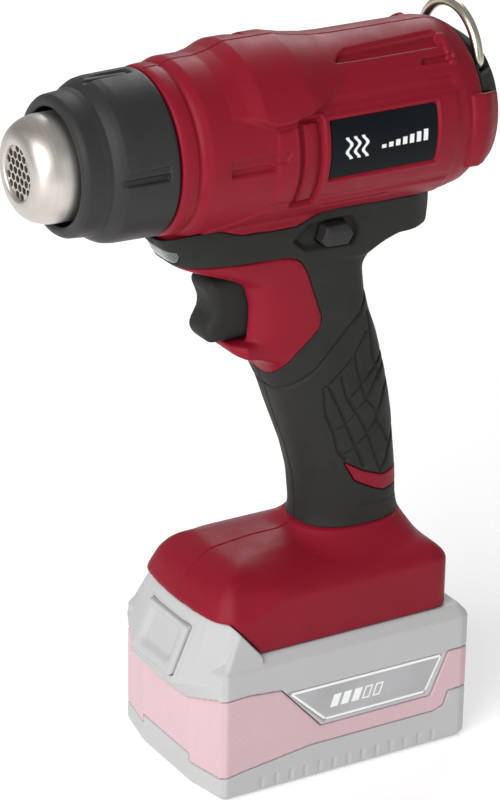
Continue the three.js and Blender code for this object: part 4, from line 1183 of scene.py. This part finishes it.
def pack_case(s):
    """Whole case of the pack, before it is split into its three mouldings."""
    plan = plan_view(s, pack_plan())
    lift = 2.2 * np.clip((3.2 - s.z) / 3.2, 0, 1) ** 2 + 0.9 * np.maximum(s.z - 53.4, 0)
    walls = rounded_max(plan + lift, np.maximum(0.2 - s.z, s.z - PACK_TOP_Z + 0.1), 0.8)
    outer = np.minimum(np.maximum(walls, -side_view(s, PACK_CHAMFER)), visor_distance(s))
    inner = np.maximum(plan + 2.5 + np.maximum(s.z - 51, 0) * 0.8, np.maximum(2.5 - s.z, s.z - 54.6))
    nose = np.maximum(side_view(s, PACK_NOSE_HOLLOW), np.abs(s.y) - 18)
    return np.maximum(outer, -np.minimum(inner, nose))


def upper_case_details(s, made):
    """Contact rails, label beds and the framed pocket of the release button."""
    rails = np.minimum(block(s, -30, 22, -14, 14, 56, 61.4), block(s, -30, 22, -19, 19, 61.2, 66))
    for y in (-12, -4, 4, 12):
        rails = np.maximum(rails, -block(s, -6, 30, y - 0.9, y + 0.9, 60, 70))
    made = np.minimum(made, rails)
    made = np.maximum(made, -np.maximum(side_view(s, PACK_LABEL) - GAP, 37.1 - np.abs(s.y)))
    pocket = block(s, -80, -48.6, -15.1, 15.1, 46.7, 66.1)
    frame_line = 0.5 * plateau(np.abs(pocket - 1.3) - 0.3, 0.7) * (s.x < -54)
    return rounded_max(made + frame_line, -pocket, 0.7)


def pack_field(region):
    """Upper case, band or lower case of the pack."""

    def field(s):
        made = pack_case(s)
        top = side_view(s, BAND_TOP + [(90, 120), (-90, 120)])
        low = side_view(s, [(-90, -20), (90, -20)] + BAND_BOTTOM[::-1])
        chin = np.maximum(np.maximum(s.x + 52, np.abs(s.y) - 18), s.z - 13.2)
        low = np.minimum(low, chin)
        if region == "upper":
            return rounded_max(upper_case_details(s, made), top + PARTING, 0.35)
        if region == "band":
            pimples = 0.13 * np.sin(s.x * 2.6) * np.sin(s.y * 2.6 + 0.4) * np.sin(s.z * 2.6)
            grip = np.clip((-30 - s.x) / 20, 0, 1) * pimples
            made = rounded_max(made + grip, -(top - PARTING), 0.35)
            return rounded_max(made, -(low - PARTING), 0.35)
        flutes = plateau(np.abs((s.x + 100) % 6.5 - 3.25) - 0.55, 0.9)
        flutes = 0.45 * flutes * (np.abs(s.x) < 44) * (s.z < 7) * (s.z > 2) * (np.abs(s.y) > 30)
        return rounded_max(made + flutes, low + PARTING, 0.35)

    return field


def release_field(s):
    """Sloping release button with a thumb dish, and a bore for its spring."""
    made = rounded_max(side_view(s, RELEASE_SIDE_VIEW), np.abs(s.y) - 14.8, 1.2)
    thumb = rounded_max(np.abs(s.y) - 10.6, np.abs(s.z - 57.2) - 6.2, 3.0)
    made = made + 1.5 * plateau(thumb, 2.6) * (s.x < -56)
    made = np.minimum(made, block(s, -52.4, -48, -9, 9, 49, 54.4))
    return np.maximum(made, -spring_bore(s, *RELEASE_BORE))


def ring_path(bend=2.6, bend_steps=5, arc_steps=39):
    """Centre line of the ring in its own plane, from one pin's tip to the other's."""
    near_leg = [Vector((0, y, 0)) for y in (-9.6, -13.0, -16.6)]
    for i in range(1, bend_steps + 1):
        t = math.pi / 2 * i / bend_steps
        near_leg.append(Vector((0, -16.9 - bend * math.sin(t), bend - bend * math.cos(t))))
    first = math.asin(bend / RING_R)
    arc = []
    for i in range(1, arc_steps + 1):
        t = first + (math.pi - 2 * first) * i / arc_steps
        arc.append(Vector((0, -RING_R * math.cos(t), RING_R * math.sin(t))))
    # the arc's last point stands in for the far leg's first one
    far_leg = [Vector((0, -p.y, p.z)) for p in reversed(near_leg[:-1])]
    return near_leg + arc + far_leg


def wire_ring(name, around=24):
    """Bent wire with its two pins turned in and rounded off."""
    path = ring_path()
    rims = {0: ((0.86, 0.0), (1.0, 0.3)), len(path) - 1: ((1.0, -0.3), (0.86, 0.0))}
    centre, across = Vector((RING_X, 0, RING_Z)), Vector((1, 0, 0))
    made = bmesh.new()
    rings = []
    for i, point in enumerate(path):
        ahead = (path[min(i + 1, len(path) - 1)] - path[max(i - 1, 0)]).normalized()
        up = ahead.cross(across)
        for size, slide in rims.get(i, ((1.0, 0.0),)):
            ring = []
            for k in range(around):
                t = 2 * math.pi * k / around
                spoke = (across * math.cos(t) + up * math.sin(t)) * WIRE_R * size
                ring.append(made.verts.new((centre + point + ahead * slide + spoke) * MM))
            rings.append(ring)
    for a, b in zip(rings, rings[1:]):
        for k in range(around):
            m = (k + 1) % around
            made.faces.new((a[k], a[m], b[m], b[k]))
    made.faces.new(rings[0])
    made.faces.new(rings[-1])
    return shade_smooth(from_bmesh(name, made), 40)


# ------------------------------------------------------------------ geometry nodes
class Tree:
    """Short way to write a geometry node tree."""

    def __init__(self, name, inputs):
        self.tree = bpy.data.node_groups.new(name, "GeometryNodeTree")
        face = self.tree.interface
        face.new_socket("Geometry", in_out="INPUT", socket_type="NodeSocketGeometry")
        self.named = {}
        for label, kind in inputs.items():
            self.named[label] = face.new_socket(label, in_out="INPUT", socket_type=kind).identifier
        face.new_socket("Geometry", in_out="OUTPUT", socket_type="NodeSocketGeometry")
        self.given = self.tree.nodes.new("NodeGroupInput").outputs
        self.result = self.tree.nodes.new("NodeGroupOutput").inputs

    def node(self, kind, *inputs, out=0, settings=None, **values):
        """New node, fed in order and by name; returns one of its outputs."""
        made = self.tree.nodes.new(kind)
        for key, value in (settings or {}).items():
            setattr(made, key, value)
        for socket, value in zip(made.inputs, inputs):
            feed(self.tree, socket, value)
        feed_all(self.tree, made, **values)
        return made.outputs[out]

    def maths(self, operation, *values):
        return math_node(self.tree, operation, *values)

    def vector(self, x, y, z):
        return self.node("ShaderNodeCombineXYZ", x, y, z)

    def cylinder(self, sides, radius, depth):
        return self.node("GeometryNodeMeshCylinder", Vertices=sides, Radius=radius, Depth=depth)

    def boolean(self, operation, first, second):
        """Two meshes joined or cut. A union takes both of them in its second socket."""
        made = self.node("GeometryNodeMeshBoolean", settings={"operation": operation}).node
        self.tree.links.new(first, made.inputs[1 if operation == "UNION" else 0])
        self.tree.links.new(second, made.inputs[1])
        return made.outputs[0]

    def moved(self, geometry, z):
        return self.node("GeometryNodeTransform", Geometry=geometry, Translation=self.vector(0.0, 0.0, z))

    def ends(self, geometry):
        whole = self.node("GeometryNodeRealizeInstances", Geometry=geometry)
        painted = self.node("GeometryNodeSetMaterial", Geometry=whole, Material=self.given["Material"])
        self.tree.links.new(painted, self.result[0])

    def run(self, name, points, **settings):
        """Plain mesh object that the tree makes from loose points."""
        mesh = bpy.data.meshes.new(name)
        mesh.from_pydata(points, [], [])
        obj = linked(name, mesh)
        modifier = obj.modifiers.new("maker", "NODES")
        modifier.node_group = self.tree
        for label, value in settings.items():
            modifier[self.named[label.replace("_", " ")]] = value
        settled(obj)
        if not len(obj.data.polygons):
            raise RuntimeError(f"{name} came out empty")
        return obj


def screw_tree():
    """Pan head with a six-sided socket and a shank, on every point."""
    t = Tree("screws_on_points", {
        "Head Radius": "NodeSocketFloat", "Head Height": "NodeSocketFloat", "Socket Radius": "NodeSocketFloat",
        "Shank Radius": "NodeSocketFloat", "Shank Length": "NodeSocketFloat", "Turn": "NodeSocketVector",
        "Material": "NodeSocketMaterial"})
    g = t.given
    head = t.moved(t.cylinder(32, g["Head Radius"], g["Head Height"]), t.maths("MULTIPLY", g["Head Height"], -0.5))
    overlap = t.maths("MULTIPLY", g["Head Height"], 0.8)
    sunk = t.maths("SUBTRACT", t.maths("MULTIPLY", g["Shank Length"], -0.5), overlap)
    shank = t.moved(t.cylinder(20, g["Shank Radius"], g["Shank Length"]), sunk)
    socket = t.cylinder(6, g["Socket Radius"], 0.0026)
    screw = t.boolean("DIFFERENCE", t.boolean("UNION", head, shank), socket)
    t.ends(t.node("GeometryNodeInstanceOnPoints", Points=g["Geometry"], Instance=screw, Rotation=g["Turn"]))
    return t


def grille_tree(rows=7):
    """Round plate pierced by hexagonal holes on a hexagonal pitch."""
    t = Tree("pierced_grille", {
        "Radius": "NodeSocketFloat", "Thickness": "NodeSocketFloat", "Pitch": "NodeSocketFloat",
        "Hole": "NodeSocketFloat", "Material": "NodeSocketMaterial"})
    g = t.given
    span = t.maths("MULTIPLY", g["Pitch"], rows - 1.0)
    lattice = t.node("GeometryNodeMeshGrid", Size_X=span, Size_Y=span, Vertices_X=rows, Vertices_Y=rows)
    apart = t.node("ShaderNodeSeparateXYZ", t.node("GeometryNodeInputPosition")).node.outputs
    x = t.maths("MULTIPLY_ADD", apart["Y"], 0.5, apart["X"])
    y = t.maths("MULTIPLY", apart["Y"], math.sin(math.pi / 3))
    lattice = t.node("GeometryNodeSetPosition", Geometry=lattice, Position=t.vector(x, y, 0.0))
    place = t.node("GeometryNodeInputPosition")
    length = t.node("ShaderNodeVectorMath", place, out=1, settings={"operation": "LENGTH"})
    limit = t.maths("SUBTRACT", g["Radius"], t.maths("MULTIPLY", g["Hole"], 0.6))
    lattice = t.node("GeometryNodeDeleteGeometry", lattice, t.maths("GREATER_THAN", length, limit))
    turn = t.vector(0.0, 0.0, math.pi / 6)
    holes = t.node(
        "GeometryNodeInstanceOnPoints", Points=lattice, Instance=t.cylinder(6, g["Hole"], 0.004), Rotation=turn)
    holes = t.node("GeometryNodeRealizeInstances", Geometry=holes)
    pierced = t.boolean("DIFFERENCE", t.cylinder(64, g["Radius"], g["Thickness"]), holes)
    upright = t.vector(math.pi / 2, 0.0, math.pi / 2)
    t.ends(t.node("GeometryNodeInstanceOnPoints", Points=g["Geometry"], Instance=pierced, Rotation=upright))
    return t


# ------------------------------------------------------------------ operators
def stand_camera(scene):
    """Long lens in front of the tool's left side, looking down at it."""
    camera = linked("camera", bpy.data.cameras.new("camera"))
    azimuth, elevation, roll = (math.radians(a) for a in CAMERA_ANGLES)
    level = math.cos(elevation)
    back = Vector((math.sin(azimuth) * level, -math.cos(azimuth) * level, math.sin(elevation)))
    right = Vector((math.cos(azimuth), math.sin(azimuth), 0))
    up = back.cross(right)
    across = right * math.cos(roll) + up * math.sin(roll)
    upright = up * math.cos(roll) - right * math.sin(roll)
    turn = Matrix((across, upright, back)).transposed()
    camera.matrix_world = Matrix.Translation(CAMERA_PLACE) @ turn.to_4x4()
    camera.data.lens, camera.data.sensor_width = FOCAL_LENGTH_MM, SENSOR_WIDTH_MM
    camera.data.clip_start, camera.data.clip_end = 0.05, 30
    scene.camera = camera


def floor_paint(tree, shader, place):
    """Matt white that glows faintly, so that only soft shadows show."""
    tone = mixed(tree, noise_node(tree, place, 3.0), (0.86, 0.86, 0.86), (0.88, 0.88, 0.88))
    feed_all(
        tree, shader, Base_Color=tone, Roughness=0.9, Specular_IOR_Level=0.1, Emission_Color=(1, 1, 1),
        Emission_Strength=FLOOR_GLOW)


def lay_floor():
    """Square floor under the pack."""
    mesh = bpy.data.meshes.new("floor")
    corners = [(x * FLOOR_REACH, y * FLOOR_REACH, 0) for x, y in ((-1, -1), (1, -1), (1, 1), (-1, 1))]
    mesh.from_pydata(corners, [], [(0, 1, 2, 3)])
    mesh.materials.append(finish("floor_paint", floor_paint))
    linked("floor", mesh)


def hang_lights(scene):
    """White surroundings and three round area lights."""
    world = bpy.data.worlds.new("studio")
    world.use_nodes = True
    feed_all(world.node_tree, world.node_tree.nodes["Background"], Color=(1, 1, 1), Strength=WORLD_STRENGTH)
    scene.world = world
    for name, place, aim, width, power in LIGHTS:
        lamp = bpy.data.lights.new(name, "AREA")
        lamp.shape, lamp.size, lamp.energy = "DISK", width, power
        light = linked(name, lamp)
        light.location = place
        light.rotation_mode = "QUATERNION"
        light.rotation_quaternion = (Vector(aim) - Vector(place)).to_track_quat("-Z", "Y")


class HEATGUN_OT_stage(bpy.types.Operator):
    """Pale floor, soft lights and the camera"""

    bl_idname = "heat_gun.stage"
    bl_label = "Stage"

    def execute(self, context):
        context.scene.view_settings.view_transform = "Standard"
        stand_camera(context.scene)
        lay_floor()
        hang_lights(context.scene)
        return {"FINISHED"}


class HEATGUN_OT_housing(bpy.types.Operator):
    """Left and right halves of the red clamshell"""

    bl_idname = "heat_gun.housing"
    bl_label = "Clamshell housing"

    def execute(self, context):
        both_sides("housing_shell", (-79, 0, 58), (65, 35, 291), housing_field, shell_red(), "red_shell", "housing")
        return {"FINISHED"}


class HEATGUN_OT_overmould(bpy.types.Operator):
    """Soft grip on both halves"""

    bl_idname = "heat_gun.overmould"
    bl_label = "Soft grip"

    def execute(self, context):
        both_sides("grip_skin", (-69, 0, 92.5), (47, 19, 225.5), rubber_field, grip_rubber(), "soft_grip",
                   "overmould", most=120000, step=0.45)
        return {"FINISHED"}


class HEATGUN_OT_accents(bpy.types.Operator):
    """Red inlays at the back of the grip"""

    bl_idname = "heat_gun.accents"
    bl_label = "Grip inlays"

    def execute(self, context):
        both_sides("grip_inlay", (6, 0, 100), (45, 19, 123), accent_field, shell_red(), "red_shell",
                   "grip_accent", most=20000, step=0.4)
        return {"FINISHED"}


class HEATGUN_OT_labels(bpy.types.Operator):
    """Label films on both sides of the barrel"""

    bl_idname = "heat_gun.labels"
    bl_label = "Side labels"

    def execute(self, context):
        for name, side in SIDES:
            obj = label_plate(f"{name}_label", *LABEL_FILM, side)
            finished(obj, label_material(), "housing", "label_film", f"{name}_label_plate")
        return {"FINISHED"}


class HEATGUN_OT_heat_guard(bpy.types.Operator):
    """Collar with finger slots round the outlet"""

    bl_idname = "heat_gun.heat_guard"
    bl_label = "Heat guard"

    def execute(self, context):
        obj = moulded("heat_guard_collar", (-108, -31, 223), (-71.5, 31, 285), guard_field, most=150000, step=0.5)
        finished(obj, guard_plastic(), "housing", "guard_black", "heat_guard")
        return {"FINISHED"}


class HEATGUN_OT_outlet(bpy.types.Operator):
    """Stainless outlet and its pierced grille"""

    bl_idname = "heat_gun.outlet"
    bl_label = "Outlet and grille"

    def execute(self, context):
        steel = metal("outlet_steel", tuple(colours().steel), (0.42, 0.38, 0.34), 0.25, 0.27, (-0.1214, -0.101))
        nozzle = shade_smooth(lathe("outlet_tube", OUTLET), 50)
        finished(nozzle, steel, "housing", "stainless", "outlet_nozzle")
        grille = grille_tree().run(
            "outlet_guard", [(GRILLE_X * MM, 0, AXIS_Z * MM)], Radius=0.0104, Thickness=0.001,
            Pitch=sizes().grille_pitch, Hole=sizes().grille_hole, Material=steel)
        finished(grille, steel, "housing", "stainless", "outlet_grille")
        return {"FINISHED"}


class HEATGUN_OT_rear_cap(bpy.types.Operator):
    """Rear cap with its cooling slots"""

    bl_idname = "heat_gun.rear_cap"
    bl_label = "Rear cap"

    def execute(self, context):
        obj = moulded("rear_cap_dome", (57, -31, 223), (72, 31, 285), rear_cap_field, most=120000, step=0.5)
        finished(obj, grip_rubber(), "housing", "soft_grip", "rear_cap")
        return {"FINISHED"}


class HEATGUN_OT_hang_ring(bpy.types.Operator):
    """Folding wire ring"""

    bl_idname = "heat_gun.hang_ring"
    bl_label = "Hanging ring"

    def execute(self, context):
        nickel = metal("ring_nickel", tuple(colours().wire), (0.5, 0.46, 0.36), 0.3, 0.16)
        finished(wire_ring("hang_ring_wire"), nickel, "ring", "ring_wire", "hang_ring")
        return {"FINISHED"}


class HEATGUN_OT_trigger(bpy.types.Operator):
    """Trigger"""

    bl_idname = "heat_gun.trigger"
    bl_label = "Trigger"

    def execute(self, context):
        obj = moulded("trigger_blade", (-51, -8.5, 174), (-23.5, 8.5, 202), trigger_field, most=60000, step=0.4)
        finished(obj, grip_rubber(), "trigger_unit", "soft_grip", "trigger")
        return {"FINISHED"}


class HEATGUN_OT_lock(bpy.types.Operator):
    """Cross bolt that locks the trigger"""

    bl_idname = "heat_gun.lock"
    bl_label = "Lock bolt"

    def execute(self, context):
        obj = moulded("lock_bolt_button", (-6, -21, 211), (8.5, 18, 220), lock_field, most=40000, step=0.4)
        finished(obj, guard_plastic(), "lock_bolt", "guard_black", "lock_button")
        return {"FINISHED"}


class HEATGUN_OT_lamp(bpy.types.Operator):
    """Lens of the work light"""

    bl_idname = "heat_gun.lamp"
    bl_label = "Work light"

    def execute(self, context):
        obj = moulded("lamp_lens", (-68, -11, 210.5), (-59.5, 11, 218.5), lens_field, most=30000, step=0.45)
        finished(obj, lens_material(), "housing", "clear_lens", "led_lens")
        return {"FINISHED"}


class HEATGUN_OT_pack(bpy.types.Operator):
    """Battery pack shells, band and labels"""

    bl_idname = "heat_gun.pack"
    bl_label = "Battery pack"

    def execute(self, context):
        for name, region, material, slot, node in (
                ("pack_upper_case", "upper", pack_plastic(), "pack_grey", "pack_upper_shell"),
                ("pack_middle_band", "band", pack_band_plastic(), "pack_rose", "pack_band"),
                ("pack_lower_case", "lower", pack_plastic(), "pack_grey", "pack_lower_shell")):
            z0, z1 = (corner.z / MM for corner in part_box(node))
            obj = moulded(name, (-68, -38.2, z0 - 0.5), (57, 38.2, z1 + 0.5), pack_field(region), most=140000, step=0.6)
            finished(obj, material, "battery", slot, node)
        for name, side in SIDES:
            obj = pack_label_plate(f"pack_{name}_label", side)
            finished(obj, pack_label_material(), "battery", "pack_label", f"pack_label_{name}")
        return {"FINISHED"}


class HEATGUN_OT_release(bpy.types.Operator):
    """Pack release button"""

    bl_idname = "heat_gun.release"
    bl_label = "Release button"

    def execute(self, context):
        obj = moulded("release_pad", (-67.2, -15, 46.6), (-47.5, 15, 66.2), release_field, most=60000, step=0.45)
        finished(obj, pack_plastic(), "release", "pack_grey", "release_button")
        return {"FINISHED"}


class HEATGUN_OT_screws(bpy.types.Operator):
    """Screws of the housing and of the pack"""

    bl_idname = "heat_gun.screws"
    bl_label = "Screws"

    def execute(self, context):
        tree = screw_tree()
        shared = {"Socket_Radius": sizes().screw_socket, "Material": dark_steel()}
        points = [(x * MM, top * MM, z * MM) for x, z, top in HOUSING_SCREWS]
        obj = tree.run("housing_screws", points, Head_Radius=0.0031, Head_Height=0.0022, Shank_Radius=0.0015,
                       Shank_Length=0.015, Turn=(-math.pi / 2, 0, 0), **shared)
        nodes = [f"housing_screw_{i + 1}" for i in range(len(HOUSING_SCREWS))]
        finished(shade_smooth(obj), dark_steel(), "housing", "dark_screw", *nodes)
        points = [(x * MM, y * MM, 0.0005) for x, y in PACK_SCREWS]
        obj = tree.run("pack_screws", points, Head_Radius=0.003, Head_Height=0.0017, Shank_Radius=0.0015,
                       Shank_Length=0.046, Turn=(math.pi, 0, 0), **shared)
        nodes = [f"pack_screw_{i + 1}" for i in range(len(PACK_SCREWS))]
        finished(shade_smooth(obj), dark_steel(), "battery", "dark_screw", *nodes)
        return {"FINISHED"}


class HEATGUN_OT_inner_parts(bpy.types.Operator):
    """Finishes of the parts inside, which keep the frame's own shapes"""

    bl_idname = "heat_gun.inner_parts"
    bl_label = "Inner parts"

    def execute(self, context):
        plated = metal("plated_steel", (0.55, 0.54, 0.51), (0.38, 0.36, 0.33), 0.3, 0.28)
        mica = moulding("mica_sheet", (0.42, 0.34, 0.22), (0.45, 0.7), 700.0, 0.00008, 0.2)
        wire = metal("heating_wire", (0.32, 0.25, 0.2), (0.2, 0.17, 0.15), 0.5, 0.4)
        black = moulding("inner_black", (0.018, 0.018, 0.018), (0.38, 0.5), 1200.0, 0.00005, 0.06)
        wrap = moulding("cell_wrap", (0.045, 0.15, 0.36), (0.25, 0.36), 900.0, 0.00002, 0.05)
        by_node = {
            "heater_sleeve": mica, "heater_former": mica, "heater_coil": wire, "thermal_cutout": plated,
            "air_guide": black, "impeller": black, "motor_shaft": plated, "motor": plated, "motor_mount": black,
            "trigger_spring": plated, "switch_body": black, "led_board": board_material(),
            "control_board": board_material(), "terminal_block": black, "cell_holder": black,
            "pack_board": board_material(), "contact_block": black, "release_spring": plated,
        }
        by_node.update({f"cell_{i + 1}": wrap for i in range(10)})
        for name, material in by_node.items():
            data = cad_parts[name].data
            data.materials.clear()
            data.materials.append(material)
        return {"FINISHED"}


STEPS = (
    HEATGUN_OT_stage, HEATGUN_OT_housing, HEATGUN_OT_overmould, HEATGUN_OT_accents, HEATGUN_OT_labels,
    HEATGUN_OT_heat_guard, HEATGUN_OT_outlet, HEATGUN_OT_rear_cap, HEATGUN_OT_hang_ring, HEATGUN_OT_trigger,
    HEATGUN_OT_lock, HEATGUN_OT_lamp, HEATGUN_OT_pack, HEATGUN_OT_release, HEATGUN_OT_screws,
    HEATGUN_OT_inner_parts,
)


class HEATGUN_PT_panel(bpy.types.Panel):
    """Lists the steps that build the heat gun"""

    bl_idname = "HEATGUN_PT_panel"
    bl_label = "Heat gun"
    bl_space_type = "VIEW_3D"
    bl_region_type = "UI"
    bl_category = "Heat gun"

    def draw(self, context):
        for group in (context.scene.heat_gun_sizes, context.scene.heat_gun_colours):
            for key in group.bl_rna.properties.keys():
                if key not in ("rna_type", "name"):
                    self.layout.prop(group, key)
        for step in STEPS:
            self.layout.operator(step.bl_idname)


CLASSES = (HeatGunSizes, HeatGunColours, *STEPS, HEATGUN_PT_panel)


def register():
    for cls in CLASSES:
        bpy.utils.register_class(cls)
    bpy.types.Scene.heat_gun_sizes = bpy.props.PointerProperty(type=HeatGunSizes)
    bpy.types.Scene.heat_gun_colours = bpy.props.PointerProperty(type=HeatGunColours)


def unregister():
    del bpy.types.Scene.heat_gun_colours
    del bpy.types.Scene.heat_gun_sizes
    for cls in reversed(CLASSES):
        bpy.utils.unregister_class(cls)


def main():
    register()
    for step in STEPS:
        area, name = step.bl_idname.split(".")
        getattr(getattr(bpy.ops, area), name)()


if __name__ == "__main__":
    main()
